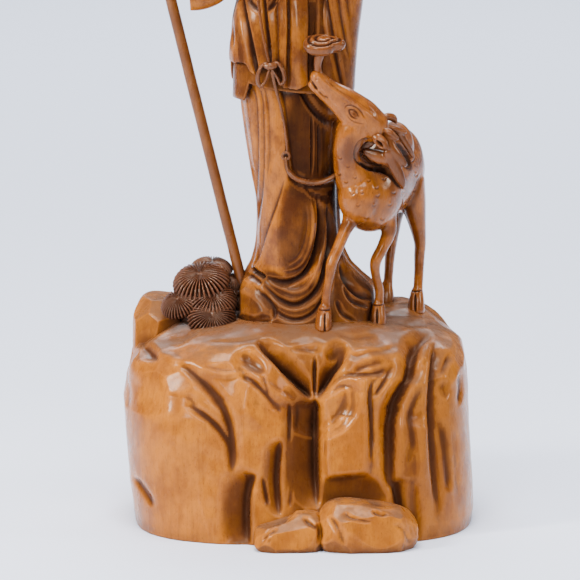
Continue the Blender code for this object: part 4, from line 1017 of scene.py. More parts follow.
# The inner panel, sunk beside the cord, the flap that laps over it and the turned leaf of the hem
SKIRT_PANELS = [
    ([(278, 86), (283, 112), (287, 138), (289, 155), (291, 172), (300, 184), (345, 180), (345, 84)], 2.5, -6),
    ([(302, 84), (309, 99), (319, 112), (329, 119), (345, 124), (345, 82)], 2.5, 4),
    ([(238, 288), (246, 285), (256, 291), (265, 299), (271, 308), (272, 317), (256, 322), (238, 318)],
     7, 3.5),
]
# Soft ovals of painted shade on the robe: in its deep folds and sunk inner panel, under the sash, the bow and
# the knee, behind the deer, and over its middle and right side, away from the light
ROBE_PAINTED_SHADE = [
    ((308, 135), (26, 60), 0, 0.66), ((312, 192), (30, 13), 5, 0.66), ((276, 284), (20, 12), 35, 0.66),
    ((330, 240), (13, 60), 0, 0.60), ((314, 30), (8, 70), 0, 0.60), ((262, 28), (5, 52), -8, 0.44),
    ((252, 50), (4, 32), -12, 0.74), ((271, 74), (15, 14), 0, 0.62), ((240, 50), (3, 30), -8, 0.5),
    ((352, 298), (32, 28), 0, 0.54), ((250, 308), (26, 24), 0, 0.44), ((250, 4), (12, 6), 30, 0.60),
    ((272, 4), (12, 6), -30, 0.60), ((334, 40), (26, 90), 0, 0.48), ((300, 304), (60, 26), 0, 0.60),
    ((306, 262), (8, 26), 25, 0.60), ((296, 224), (18, 66), 6, 0.54), ((272, 30), (40, 66), 0, 0.34),
]
COAT_GROOVES = [
    ([(236, -40), (242, 0), (248, 30), (255, 62), (258, 76)], 6, 2.5, 8),
    ([(228, -30), (230, 10), (233, 50)], 4, 3, 3),
    ([(244, -10), (250, 4), (261, 13)], 2, 5, 5),
    ([(281, -10), (275, 4), (265, 13)], 5, 2, 5),
    ([(262, -20), (266, 20), (269, 45), (271, 66)], 3, 3, 6),
    ([(276, -20), (278, 30), (278, 80)], 3, 3, 3),
    ([(285, -30), (286, 30), (284, 88)], 3.5, 2.5, -2.5),
    ([(288, -20), (289, 30), (288, 86)], 2, 3, 3),
    ([(311, -40), (313, 10), (312, 50), (311, 84)], 5, 6, 9),
]
COAT_HOLLOWS = [((299, 40), (12, 60), 0, -4)]
# Square-on cuts of the upper body, as (x, minus height)
CHEST_GROOVES = [
    ([(-24, -682), (-20, -660), (-8, -634), (8, -604), (24, -578)], 4, 4, -2.6),
    ([(-30, -668), (-24, -654), (-13, -630), (3, -600), (20, -574)], 2, 2, 2.0),
    ([(-16, -676), (-13, -656), (-3, -636), (12, -608), (26, -586)], 2, 2, 2.0),
    ([(13, -680), (10, -662), (3, -640), (-5, -622)], 4, 4, -2.6),
    ([(19, -668), (15, -654), (8, -636), (-1, -618)], 2, 2, 2.0),
    ([(6, -674), (4, -658), (-2, -642)], 2, 2, 2.0),
    ([(-44, -640), (-40, -600), (-30, -566)], 6, 5, 3.5),
    ([(-26, -600), (-18, -576), (-12, -560)], 5, 4, 3.0),
    ([(30, -636), (34, -600), (30, -566)], 5, 5, 3.5),
]
BACK_FOLDS = 13


def back_folds(grid, depth, low, high):
    """Upright folds on the side of the robe that the front drawing doesn't show."""
    normals = grid_normals(grid)
    hidden = smooth_step(-(normals @ TOWARDS_VIEWER), -0.25, 0.15)
    middle = grid.mean(axis=1, keepdims=True)
    angle = np.arctan2(grid[..., 1] - middle[..., 1], grid[..., 0] - middle[..., 0])
    wander = 0.10 * np.sin(grid[..., 2] / 57.0 + 1.0)
    wave = np.cos((angle + wander) * BACK_FOLDS) + 0.35 * np.cos((angle - wander) * (BACK_FOLDS - 6) + 1)
    reach = smooth_step(grid[..., 2], low, low + 20) * (1 - smooth_step(grid[..., 2], high - 40, high))
    return grid - normals * (hidden * reach * depth * wave)[..., None]


def hem_line(grid, hem, behind):
    """Heights of a hem: the drawn line in front and a level one behind."""
    ring = grid[0]
    drawn = np.array([on_drawing(across, down, HEM_FRONT) for across, down in hem])
    line = np.interp(ring[:, 0], drawn[:, 0], drawn[:, 2])
    back = smooth_step(ring[:, 1], -6, 14)
    return line * (1 - back) + behind * back


def build_skirt():
    plain = shell(SKIRT, crowded_angles(SKIRT_COLUMNS, 0.45), SKIRT_RINGS, 2.25)
    grid, dark = carve(back_folds(plain, 3.0, 190, 540), SKIRT_GROOVES, SKIRT_HOLLOWS, SKIRT_PANELS,
                       normals=grid_normals(plain), shade_and_stains=ROBE_PAINTED_SHADE)
    grid_piece("skirt", [grid], ROBE_WOOD, dark=dark)


def build_coat():
    """The coat, open below, and the edge of the one that shows under it."""
    angles = crowded_angles(COAT_COLUMNS, 0.5)
    grid = shell(INNER_COAT, angles, INNER_RINGS, 2.3)
    grid = hollow_hem(grid, hem_line(grid, INNER_HEM, INNER_BACK_HEM), 10.0)
    # an even painted shade over the inner coat, which lies under the coat
    grid_piece("inner_coat", [grid], ROBE_WOOD, dark=np.full(grid.shape[:2], 0.45))
    plain = shell(COAT, angles, COAT_RINGS, 2.3)
    normals = grid_normals(plain)
    hem = hem_line(plain, COAT_HEM, COAT_BACK_HEM)
    grid, dark = carve(back_folds(plain, 2.2, 452, 640), COAT_GROOVES, COAT_HOLLOWS, normals=normals,
                       shade_and_stains=ROBE_PAINTED_SHADE)
    grid, chest = carve(grid, CHEST_GROOVES, view=elevation, normals=normals)
    # strong painted shade inside the hem, and the painted shade of the coat's cuts and ovals
    inside = np.full((HEM_RINGS, len(angles)), 0.8)
    grid_piece("coat", [hollow_hem(grid, hem)], ROBE_WOOD,
               dark=np.vstack([inside, np.maximum(dark, chest)]))


# Where the staff stands in the rock and where the hand closes round it
STAFF_FOOT = np.array([-48.0, 10.0, 205.0])
STAFF_HAND = np.array([-145.0, 8.0, 601.0])

# Sleeves and arms: rows of (x, y, z, half width, half depth)
RIGHT_SLEEVE = [
    (-40, 0, 628, 26, 24), (-62, -4, 598, 34, 22), (-84, -8, 574, 44, 18), (-100, -9, 562, 50, 15),
    (-110, -9, 560, 49, 13),
]
RIGHT_FOREARM = [(-84, -4, 592, 12, 12), (-112, 0, 598, 10, 10), (-130, 4, 601, 8.5, 9)]
RIGHT_PALM = [(-126, 5, 601, 9, 10), (-134, 7, 601, 10, 12), (-141, 8, 601, 8, 11)]
LEFT_SLEEVE = [
    (40, 0, 628, 24, 23), (46, -8, 590, 24, 24), (44, -16, 540, 23, 25), (41, -20, 490, 20, 24),
    (39, -22, 456, 19, 23), (38, -22, 436, 19, 22),
]
LEFT_FOREARM = [(46, -14, 560, 15, 15), (30, -34, 557, 12, 12), (14, -44, 560, 8.5, 9)]
LEFT_PALM = [(16, -43, 560, 8, 9), (6, -49, 561, 6, 10), (-2, -52, 562, 4.5, 9)]
LEFT_SLEEVE_GROOVES = [
    ([(318, -40), (324, 0), (334, 50), (344, 94)], 4, 5, 5),
    ([(334, -40), (340, 10), (350, 60)], 4, 4, 3.5),
    ([(344, -30), (350, 20)], 3, 3, 2.5),
]
FINGER = 2.9
HAND_VOXEL = 0.0006


def gripping_fingers():
    """Four fingers and a thumb closed round the staff."""
    along = (STAFF_HAND - STAFF_FOOT) / np.linalg.norm(STAFF_HAND - STAFF_FOOT)
    turns = np.radians(np.linspace(75, -215, 9))[2:]
    grids = []
    for shift, reach in ((8.4, 9.0), (2.9, 9.5), (-2.7, 9.3), (-8.0, 8.7)):
        x, y, z = STAFF_HAND + along * shift
        grids.append(limb([(x + reach * math.cos(a), y + reach * math.sin(a), z, FINGER, FINGER)
                           for a in turns], 20, 40, reference=UPRIGHT))
    x, y, z = STAFF_HAND + along * 9.0
    grids.append(limb([(x + 12, y - 4, z - 6, 3.6, 3.6), (x + 7, y - 9, z + 1, 3.3, 3.3),
                       (x - 1, y - 11, z + 3, 2.7, 2.7)], 20, 24))
    return grids


def resting_fingers():
    """The other hand: fingers a little curled at the chest, the thumb above them."""
    grids = []
    for number in range(4):
        z = 568.5 - 5.2 * number
        grids.append(limb([(2, -51, z, 2.9, 2.8), (-8, -54.5, z + 0.6, 2.8, 2.6),
                           (-15, -53, z - 0.6, 2.5, 2.4), (-18.5, -49.5, z - 1.6, 1.9, 1.9)], 20, 30))
    grids.append(limb([(10, -47, 568, 3.6, 3.4), (2, -52, 573, 3.1, 3.0), (-6, -53, 574, 2.3, 2.3)], 20, 24))
    return grids


def build_sleeves():
    grid_piece("right_sleeve", [limb(RIGHT_SLEEVE, 120, 76, cuff=12.0)], ROBE_WOOD)
    grid, dark = carve(limb(LEFT_SLEEVE, 120, 106, cuff=12.0), LEFT_SLEEVE_GROOVES,
                       shade_and_stains=ROBE_PAINTED_SHADE)
    grid_piece("left_sleeve", [grid], ROBE_WOOD, dark=dark)
    for name, grids in (("right_hand", [limb(RIGHT_FOREARM), limb(RIGHT_PALM)] + gripping_fingers()),
                        ("left_hand", [limb(LEFT_FOREARM), limb(LEFT_PALM)] + resting_fingers())):
        mesh = remeshed(name, grids, HAND_VOXEL, relax_steps=1)
        write_layer(mesh, "cut", np.zeros(len(mesh.vertices)))
        finish_piece(name, mesh, SKIN_WOOD)


# Head, about its own middle: sections as (height, left, right, front, back)
HEAD = [
    (688, 9, 9, 15, 10), (691, 14, 14, 22, 14), (699, 19, 19, 26, 19), (712, 23, 23, 28, 24),
    (722, 26, 26, 28.5, 27), (732, 27.5, 27.5, 28, 29), (744, 28, 28, 28.5, 30), (756, 25, 25, 26, 28),
    (767, 17, 17, 17, 20), (772, 8, 8, 8, 10),
]
HEAD_PLACE = np.array([-5.0, -3.0, 0.0])
NECK = [(-5, 2, 668, 15, 15), (-5, 1, 684, 13.5, 13.5), (-5, 0, 702, 14, 14)]
HAIR = [
    (706, 16, 16, 2, 24), (716, 25, 25, 1, 29), (728, 29.5, 29.5, 4, 32.5), (742, 30.5, 30.5, 16, 34),
    (753, 29, 29, 26.5, 32), (763, 24, 24, 25, 28), (771, 15, 15, 15, 19), (775, 7, 7, 7, 10),
]
HAIR_BUN = [(-5, 4, 770, 10, 10), (-5, 4, 779, 13.5, 13.5), (-5, 4, 788, 12.5, 12.5), (-5, 4, 795, 7, 7)]
HAIR_TIE = [(-5, 4, 769, 12, 12), (-5, 4, 774, 12, 12)]
HAIR_STRANDS, BUN_STRANDS = 46, 11
# An ear, as rows of (out, back, height, half width, half depth) from its place on the head
EAR_OUT, EAR_BACK = 27.0, 4
EAR = [(0, 0, 738, 3, 4.5), (0.6, 1, 730, 3.4, 5.4), (0.6, 0, 721, 3.0, 4.4), (0, -1.5, 713, 2.8, 3.6),
       (-1, -2, 708, 2.0, 2.4)]


def mirrored(lines):
    """The lines of half a face, and the same on its other side; all are (x, height) from its middle."""
    for points, left, right, depth in lines:
        for side in (-1, 1):
            widths = (left, right) if side > 0 else (right, left)
            yield [(HEAD_PLACE[0] + side * x, -z) for x, z in points], *widths, depth


HALF_FACE_LINES = [
    # closed edge of the lids, the fold over them and the brow
    ([(5.0, 729.0), (9, 726.8), (14, 726.5), (19.4, 729.6)], 1.0, 1.4, 1.3),
    ([(4.8, 731.4), (9, 733.8), (14.4, 734.0), (20.0, 731.2)], 1.0, 1.4, 0.7),
    ([(3.6, 738.4), (9, 742.0), (15, 742.2), (22, 737.6)], 2.6, 2.6, -1.0),
    # the side of the nose, its wing and the fold of the cheek
    ([(6.2, 717.0), (6.7, 713.6), (4.7, 711.6)], 1.0, 1.4, 0.9),
    ([(8.4, 714), (11.6, 708.6), (12.8, 702)], 2.4, 2.8, 0.6),
]
FACE_LINES = [
    ([(-8.8, 703.4), (-4.2, 702.2), (0, 703.0), (4.2, 702.2), (8.8, 703.4)], 0.9, 1.0, 1.4),
    ([(-5, 697.4), (0, 696.6), (5, 697.4)], 2.0, 2.2, 0.8),
    ([(0, 742), (0, 731), (0, 722), (0, 715.5)], 5.0, 5.0, -3.4),
]
HALF_FACE_SHAPES = [
    ((12.4, 730.0), (11.2, 7.4), 0, 2.1), ((12.2, 729.2), (9.6, 5.6), 0, -2.2),
    ((4.9, 713.8), (3.8, 3.6), 0, -1.7), ((16, 714), (13, 14), 0, -1.4),
]
FACE_SHAPES = [
    ((0, 715.4), (6.6, 7.4), 0, -3.9), ((0, 705.2), (9.4, 3.2), 0, -1.6), ((0, 700.0), (7.6, 3.2), 0, -1.9),
    ((0, 692.8), (10.5, 6.0), 0, -1.6), ((0, 709.2), (1.7, 2.6), 0, 0.5), ((0, 752), (20, 11), 0, -0.8),
]


def face_relief():
    lines = list(mirrored(HALF_FACE_LINES))
    lines += [([(HEAD_PLACE[0] + x, -z) for x, z in points], *rest) for points, *rest in FACE_LINES]
    rises, sockets = [], []
    for side, shapes in ((-1, HALF_FACE_SHAPES), (1, HALF_FACE_SHAPES), (1, FACE_SHAPES)):
        for (x, z), half, turn, depth in shapes:
            target = sockets if depth > 0 else rises
            target.append(((HEAD_PLACE[0] + side * x, -z), half, turn, depth))
    return lines, rises, sockets


def build_head():
    lines, rises, sockets = face_relief()
    head = shell(HEAD, crowded_angles(220, 0.6), 140, 2.05) + HEAD_PLACE
    head, _ = carve(head, hollows=sockets, view=elevation)
    head, _ = carve(head, hollows=rises, view=elevation)
    head, dark = carve(head, lines, view=elevation)
    # the face's carved lines get their painted shade doubled
    grid_piece("head", [head, limb(NECK, 48, 24)], SKIN_WOOD, dark=dark * 2.0)


def build_hair():
    angles = np.linspace(0, 2 * math.pi, 6 * HAIR_STRANDS, endpoint=False)
    hair = shell(HAIR, angles, 60, 2.05)
    strand = np.abs(np.sin(HAIR_STRANDS * angles / 2 + 0.05 * hair[..., 2]))
    shine = smooth_step(hair[..., 2], 706, 716)
    hair = hair + grid_normals(hair) * (0.8 * (strand - 0.5) * shine)[..., None]
    # painted shade in the grooves between the strands
    grid_piece("hair", [hair + HEAD_PLACE + np.array([0, 3, 0])], HAIR_WOOD,
               dark=0.5 * smooth_step(1 - strand, 0.5, 1.0) * shine)


def build_bun():
    sides = 12 * BUN_STRANDS
    bun = limb(HAIR_BUN, sides, 44)
    turn = np.arange(sides) * (2 * math.pi / sides)
    twist = np.abs(np.sin(BUN_STRANDS * turn[None, :] + 0.06 * np.arange(len(bun))[:, None]))
    middle = bun.mean(axis=1, keepdims=True)
    bun = middle + (bun - middle) * (1 + 0.05 * (twist - 0.5))[..., None]
    # painted shade in the grooves between the strands
    grid_piece("hair_bun", [bun, limb(HAIR_TIE, 60, 12)], HAIR_WOOD,
               dark=0.5 * smooth_step(1 - twist, 0.5, 1.0))


def build_ears():
    ears = []
    for side in (-1, 1):
        rows = np.array(EAR)
        rows[:, 0] = HEAD_PLACE[0] + side * (EAR_OUT + rows[:, 0])
        rows[:, 1] += HEAD_PLACE[1] + EAR_BACK
        ears.append(limb(rows, 40, 60))
    grid_piece("ears", ears, SKIN_WOOD)


# Deer: rows of (x, y, z, half width, half depth)
DEER_BODY = [
    (62, -44, 332, 22, 29), (72, -27, 329, 28, 37), (81, -5, 337, 29, 38), (90, 20, 342, 29, 41),
    (100, 46, 344, 29, 44), (106, 60, 341, 23, 36),
]
DEER_WITHERS = [(76, -18, 362, 17, 20), (86, -2, 372, 19, 22), (97, 24, 370, 20, 26)]
DEER_NECK = [
    (66, -30, 334, 27, 28), (56, -42, 353, 20, 22), (49.5, -49, 370, 14.5, 18), (49, -53, 382, 13.5, 18),
    (54, -55, 396, 16.5, 19), (61, -56, 407, 17, 18),
]
DEER_HEAD = [
    (73, -54, 403, 17, 17), (61, -60, 414, 18, 17.5), (46, -64, 429, 13.5, 14), (33, -67, 440, 9.5, 11),
    (22, -69, 450, 7.5, 9), (19, -69.5, 453, 6.5, 8),
]
DEER_JAW = [(56, -62, 404, 9, 10), (38, -66, 422, 5.5, 7), (19, -68, 440, 4.2, 6), (14, -68.5, 445, 3.8, 5)]
DEER_LEGS = [
    [(56, -40, 326, 12, 13), (53, -46, 309, 8.5, 10), (47, -53, 297, 6.3, 8), (40, -60, 281, 5.6, 7),
     (34, -65, 267, 5.6, 6.6), (32, -67, 254, 4.7, 5.4), (29, -67, 238, 4.4, 5.0), (28, -67, 222, 5.0, 5.8),
     (27, -67, 213, 6.6, 7.6)],
    [(88, -18, 326, 13, 14), (90, -22, 306, 9, 11), (91, -24, 292, 7.5, 9), (85, -27, 277, 6, 7),
     (78, -30, 263, 5.8, 6.6), (78, -28, 250, 4.8, 5.4), (82, -25, 232, 4.6, 5.2), (81, -25, 216, 5.2, 6),
     (81, -26, 208, 7, 8)],
    [(112, 42, 332, 17, 22), (117, 42, 310, 13, 17), (121, 42, 290, 9, 12), (124, 44, 270, 6.2, 8),
     (123.5, 45, 256, 5.6, 6.8), (123, 43, 240, 5, 5.8), (122, 40, 222, 5.2, 6), (121, 38, 211, 7.4, 8)],
    [(96, 58, 328, 14, 18), (99, 62, 306, 11, 14), (98, 66, 288, 8, 10), (96, 70, 266, 5.8, 7),
     (94, 71, 248, 5.2, 6.2), (93, 70, 232, 4.8, 5.6), (92, 69, 218, 5.4, 6.2), (91, 68, 212, 7, 8)],
]
DEER_HOOF = [(0, 0, 10, 6.6, 7.6), (-0.5, -2, 3, 8, 10), (-1, -4, -7, 9, 12)]
DEER_TAIL = [(104, 74, 352, 8, 6), (105, 84, 340, 7, 5), (104, 86, 326, 3, 3)]
# Ears and antlers, as rows of (across, down, y, half width, half depth) on the drawing
DEER_EARS = [
    [(372, 134, -62, 3, 4), (377, 138, -68, 5.5, 4), (383, 144, -71, 5.5, 3.4), (388, 149, -72, 2, 2)],
    [(381, 120, -50, 3.4, 4), (387, 116.5, -48, 3.8, 4), (393, 118, -47, 4, 3.4), (396, 122, -46, 2, 2.4)],
]
DEER_ANTLERS = [
    # the beam from the foot of the ear, its two tips and the short tines over it
    [(380, 128, -60, 4, 4), (388, 137, -61, 5, 4.6), (391, 147, -62, 5.5, 5), (397, 156, -61, 5.5, 5),
     (404, 164, -58, 3.4, 3.4)],
    [(389, 152, -62, 6, 5), (393, 163, -61, 6, 5), (398, 174, -59, 5.6, 4.8), (402, 183, -57, 4, 3.6),
     (403, 188, -55, 1.8, 1.8)],
    [(382, 129, -62, 3, 3), (390, 133, -64, 3.8, 3.6), (396.5, 138, -63, 2.6, 2.6)],
    [(388, 127, -57, 3, 3), (397, 129.5, -56, 3.2, 3), (404.5, 132, -54, 2.4, 2.4)],
    # the plate that joins it to the neck, the tine on the back and the curl beside the neck
    [(366, 152, -54, 4, 3.6), (376, 156, -56, 6.5, 4), (387, 159, -59, 6.5, 5)],
    [(398, 132, -54, 3, 3), (404, 141, -51, 3.2, 3), (409, 149, -48, 3.2, 3), (413, 157, -44, 2, 2)],
    [(372, 143, -52, 3, 3), (365, 146, -51, 4.6, 3), (360, 154, -50, 2.2, 2.2)],
]
DEER_GROOVES = [
    # the mouth, the corner of the lips and the jaw
    ([(310, 80), (314, 85.5), (318, 90.5)], 1.5, 1.5, 3.4),
    ([(319, 91.5), (323, 96), (328.5, 98.5)], 1.6, 1.6, 2.0),
    ([(313, 88), (320, 99), (329, 108)], 1.4, 2.2, 0.8),
    # the bridge of the nose, flat between two ridges
    ([(326, 80), (342, 91.5), (358, 101), (376, 115)], 3.2, 3.2, 1.3),
    ([(316, 75), (326, 83.5), (340, 94), (360, 108), (381, 124)], 2.2, 2.2, -1.5),
    # the hollow beside the neck and the gap under the antlers
    ([(372, 139), (363, 140.5), (357, 147), (356, 158), (361, 166)], 2.5, 3.5, 3.0),
    ([(359, 162), (370, 167), (384, 169.5), (394, 177), (401, 188)], 4.5, 1.8, 6.0),
    ([(396, 143), (403, 153), (409, 167)], 5, 5, 4.5),
    ([(402, 190), (404, 202), (399, 218)], 2.0, 5.0, 2.6),
    ([(421, 174), (414, 194), (403, 206)], 2.5, 4.0, 2.0),
]
DEER_HOLLOWS = [((316, 79.5), (1.6, 1.2), 30, 1.6), ((354, 114.2), (2.4, 1.9), 35, 0.9)]
DEER_EAR_HOLLOW = [((379.5, 144), (2.4, 5.4), -45, 6.0)]
# Fine lines of the head: the lids over and under the eye and the fold behind it
DEER_FACE_LINES = [
    ([(344, 109), (348, 105.5), (355, 107), (361, 112), (365, 119)], 1.2, 1.8, 1.2),
    ([(346, 113), (350, 119.5), (357, 123), (365, 124)], 1.6, 1.2, 1.0),
]
# Painted shade under and behind the antlers, beside the neck, under the chest and on the far flank, and
# darker colour at the eye
DEER_PAINTED_SHADE = [
    ((376, 168), (20, 4.5), 16, 1.0), ((396, 181), (10, 4), 56, 0.9), ((403, 156), (6, 17), -28, 0.95),
    ((365, 152), (8, 10), 0, 0.50), ((350, 148), (9, 16), 10, 0.36), ((390, 146), (16, 22), 30, 0.45),
    ((368, 229), (40, 8), 5, 0.40), ((412, 196), (8, 24), 20, 0.44), ((354, 114), (5, 2.6), 42, 0.60),
]
# The eye, as (centre, half sizes, turn in degrees)
EYE_RING = ((353.8, 114.2), (6.2, 3.6), 42.0)
DEER_SPOTS = [
    (340, 158), (339, 174), (346, 182), (355, 177), (369, 180), (377, 187), (384, 178), (352, 193),
    (362, 192), (378, 195), (394, 192), (358, 205), (374, 205), (390, 204), (382, 219), (348, 166),
    (404, 150), (412, 160), (416, 174), (414, 190), (404, 205), (366, 218),
]
# The front of three hooves: across, top and bottom
HOOF_LINES = [(325, 309, 332), (377, 304, 323), (415, 290, 309)]
# Voxels that its forms are joined with, in metres
DEER_VOXEL, ANTLER_VOXEL = 0.0006, 0.00039


def eye_ring():
    """The rim of the eye, an almond drawn as a closed line."""
    centre, half, turn = EYE_RING
    c, s = math.cos(math.radians(turn)), math.sin(math.radians(turn))
    ring = []
    for a in np.linspace(0, 2 * math.pi, 17):
        along, aside = half[0] * math.cos(a), half[1] * math.sin(a) * abs(math.sin(a)) ** 0.5
        ring.append((centre[0] + along * c - aside * s, centre[1] + along * s + aside * c))
    return ring


def spot_line(x, y):
    """A small crescent, open above, such as a gouge pushed in at a slant leaves."""
    return [(x - 1.9, y - 0.2), (x - 0.9, y + 1.5), (x + 0.9, y + 1.4), (x + 1.8, y - 0.6)]


def deer_forms():
    """The forms of the deer, to be joined: its barrel, neck, head, legs with their hooves and tail."""
    grids = [limb(DEER_BODY, 56, 50, reference=UPRIGHT), limb(DEER_WITHERS, 48, 30, reference=UPRIGHT)]
    grids += [limb(rows, 48, 40) for rows in (DEER_NECK, DEER_HEAD, DEER_JAW)]
    for rows in DEER_LEGS:
        hoof = np.array(DEER_HOOF, float)
        hoof[:, :3] += np.array(rows[-1][:3])
        hoof[:, 2] -= 2
        grids += [limb(rows, 32, 90), limb(hoof, 32, 16)]
    return grids + [limb(DEER_TAIL, 24, 30)]


def build_deer():
    mesh = remeshed("deer", deer_forms(), DEER_VOXEL, relax_steps=8)
    fine = [(eye_ring(), 1.5, 1.5, 1.6)]
    for x, top, bottom in HOOF_LINES:
        fine.append(([(x - 9, top), (x, top + 1.2), (x + 9, top)], 1.6, 1.6, 1.6))
        fine.append(([(x, top + 3), (x, bottom + 4)], 1.8, 1.8, 3.0))
    carve_mesh(mesh, hollows=[(EYE_RING[0], (5.6, 4.0), EYE_RING[2], -1.8)])
    # painted shade in the cuts and ovals, stronger in the fine lines, hoof lines and spots
    dark = carve_mesh(mesh, DEER_GROOVES, DEER_HOLLOWS, shade_and_stains=DEER_PAINTED_SHADE)
    dark = np.maximum(dark, 3.5 * carve_mesh(mesh, DEER_FACE_LINES + fine))
    spots = [(spot_line(x, y), 1.2, 1.2, 0.8) for x, y in DEER_SPOTS]
    dots = [((x, y - 0.4), (1.9, 1.7), 0, -0.7) for x, y in DEER_SPOTS]
    dark = np.maximum(dark, 5.0 * carve_mesh(mesh, spots, dots))
    write_layer(mesh, "cut", np.clip(dark, 0, 1))
    finish_piece("deer", mesh, DEER_WOOD)


def build_antlers():
    """The ears and antlers, one branching form behind the deer's head."""
    grids = [limb(drawn_rows(rows), 24, 40) for rows in DEER_EARS + DEER_ANTLERS]
    mesh = remeshed("deer_antlers", grids, ANTLER_VOXEL, relax_steps=5)
    # painted shade in the ear's hollow
    write_layer(mesh, "cut", carve_mesh(mesh, hollows=DEER_EAR_HOLLOW))
    finish_piece("deer_antlers", mesh, ANTLER_WOOD)


# Lingzhi: the mushroom in the deer's mouth. Its cap as (x, y, z, half width, half depth, height, tilt
# in degrees), and the rings carved in the cap as (place, width and depth), the first two as shares
LINGZHI_STEM = [(25, -70, 448, 3.6, 3.6), (20, -70, 462, 3.4, 3.4), (22, -70, 476, 5, 5)]
LINGZHI_CAP = (26, -68, 484, 20.5, 15, 8, 20.0)
LINGZHI_RINGS = ((0.74, 0.075, 2.6), (0.40, 0.09, 2.4))


def build_lingzhi():
    x, y, z, half_width, half_depth, height, tilt = LINGZHI_CAP
    angles = np.linspace(0, 2 * math.pi, 140, endpoint=False)
    kidney = 1 - 0.20 * np.exp(-((angles - 1.5 * math.pi - 0.7) / 0.28) ** 2)
    kidney += 0.05 * np.cos(3 * angles + 1.0)
    grid, dark = [], []
    for t in np.linspace(-86, 87, 96):
        share = math.cos(math.radians(t)) ** 0.6
        level = math.sin(math.radians(t)) * height
        shade = 0.0
        if t > 0:
            for at, wide, deep in LINGZHI_RINGS:
                near = math.exp(-((share - at) / wide) ** 2)
                level -= deep * near
                shade += near
        grid.append(np.stack([half_width * share * kidney * np.cos(angles),
                              half_depth * share * kidney * np.sin(angles),
                              level + 1.6 * share * np.cos(2 * angles + 0.6)], axis=1))
        dark.append(np.full(len(angles), 0.9 * shade))
    c, s = math.cos(math.radians(tilt)), math.sin(math.radians(tilt))
    turned = np.array(grid) @ np.array([[1, 0, 0], [0, c, s], [0, -s, c]]) + np.array([x, y, z])
    grid_piece("lingzhi", [turned, limb(LINGZHI_STEM, 24, 24)], ANTLER_WOOD, dark=np.array(dark))


# Sash: ribbons and cords, as rows of (across, down, y, half width, half depth) on the drawing
SASH_CORDS = {
    "neck_cord": [(257, -10, -44, 1.3, 1.4), (260, 15, -46, 1.3, 1.4), (264, 40, -48, 1.3, 1.4),
                  (269, 62, -51, 1.3, 1.4)],
    "bow_tail": [(272, 72, -53, 1.8, 1.5), (276, 89, -47, 1.5, 1.4), (283, 117, -43, 1.4, 1.4),
                 (286.5, 141, -42, 1.4, 1.4), (287.5, 154, -42, 1.4, 1.4)],
}
BOW_LOOPS = {
    "bow_left": [(270, 65, -52, 1.6, 2.2), (264, 64, -52, 1.8, 2.6), (259, 71, -52, 2.0, 3.0),
                 (258, 81, -51, 2.2, 3.0), (261.5, 86, -50, 2.0, 2.8), (266, 79, -51, 1.6, 2.2),
                 (269, 70, -53, 1.4, 1.8)],
    "bow_right": [(271, 65, -52, 1.6, 2.2), (277, 63, -52, 1.8, 2.6), (282, 69, -52, 2.0, 3.0),
                  (284.5, 79, -51, 2.0, 3.0), (281, 84, -50, 1.8, 2.8), (277, 77, -51, 1.6, 2.2),
                  (272, 70, -53, 1.4, 1.8)],
}
BOW_KNOT = [(266, 66, -54, 2.8, 3.0), (270, 66.5, -55, 3.8, 3.6), (274.5, 66, -54, 2.8, 3.0)]
SWAG = [
    (286, 158, -42, 2.0, 3.6), (287, 167, -44, 2.4, 4.2), (291, 174, -47, 2.6, 4.6),
    (299, 180, -49, 2.8, 4.6), (313, 183, -49, 2.8, 4.6), (325, 181, -47, 2.6, 4.6),
    (338, 174, -42, 2.6, 4.2),
]
# The ring that the swag hangs from, as (across, down, y, radius, thickness)
SWAG_RING = (286, 156, -44, 3.4, 1.5)


def build_sash():
    grids = [limb(drawn_rows(rows), 16, 40) for rows in SASH_CORDS.values()]
    grid_piece("sash_cords", grids, SASH_WOOD)
    grids = [limb(drawn_rows(rows), 16, 60) for rows in BOW_LOOPS.values()]
    grids.append(limb(drawn_rows(BOW_KNOT), 24, 16))
    grid_piece("bow", grids, SASH_WOOD)
    across, down, y, radius, thick = SWAG_RING
    turns = np.linspace(0, 2 * math.pi, 12)
    ring = [(across + radius * math.cos(a), down + radius * math.sin(a), y, thick, thick) for a in turns]
    grid_piece("swag", [limb(drawn_rows(SWAG), 32, 70), limb(drawn_rows(ring), 16, 40)], SASH_WOOD)


# Staff, in metres: its length above the rock, and its foot as (share of the radius, height)
STAFF_RISE = 0.302
STAFF_SOCKET_FOOT = [(0.5, -0.0077), (1.0, -0.0075)]
STAFF_KNOP_DIAMETER = 0.0105
# The knop below the tip, in knop radii: the rod's end, the neck, and the profile as (out, down)
KNOP_LENGTH, KNOP_NECK = 3.2, 3.1
KNOP_PROFILE = [(0.86, 2.7), (1.0, 1.9), (0.9, 1.0), (0.5, 0.2), (0.05, 0.0)]


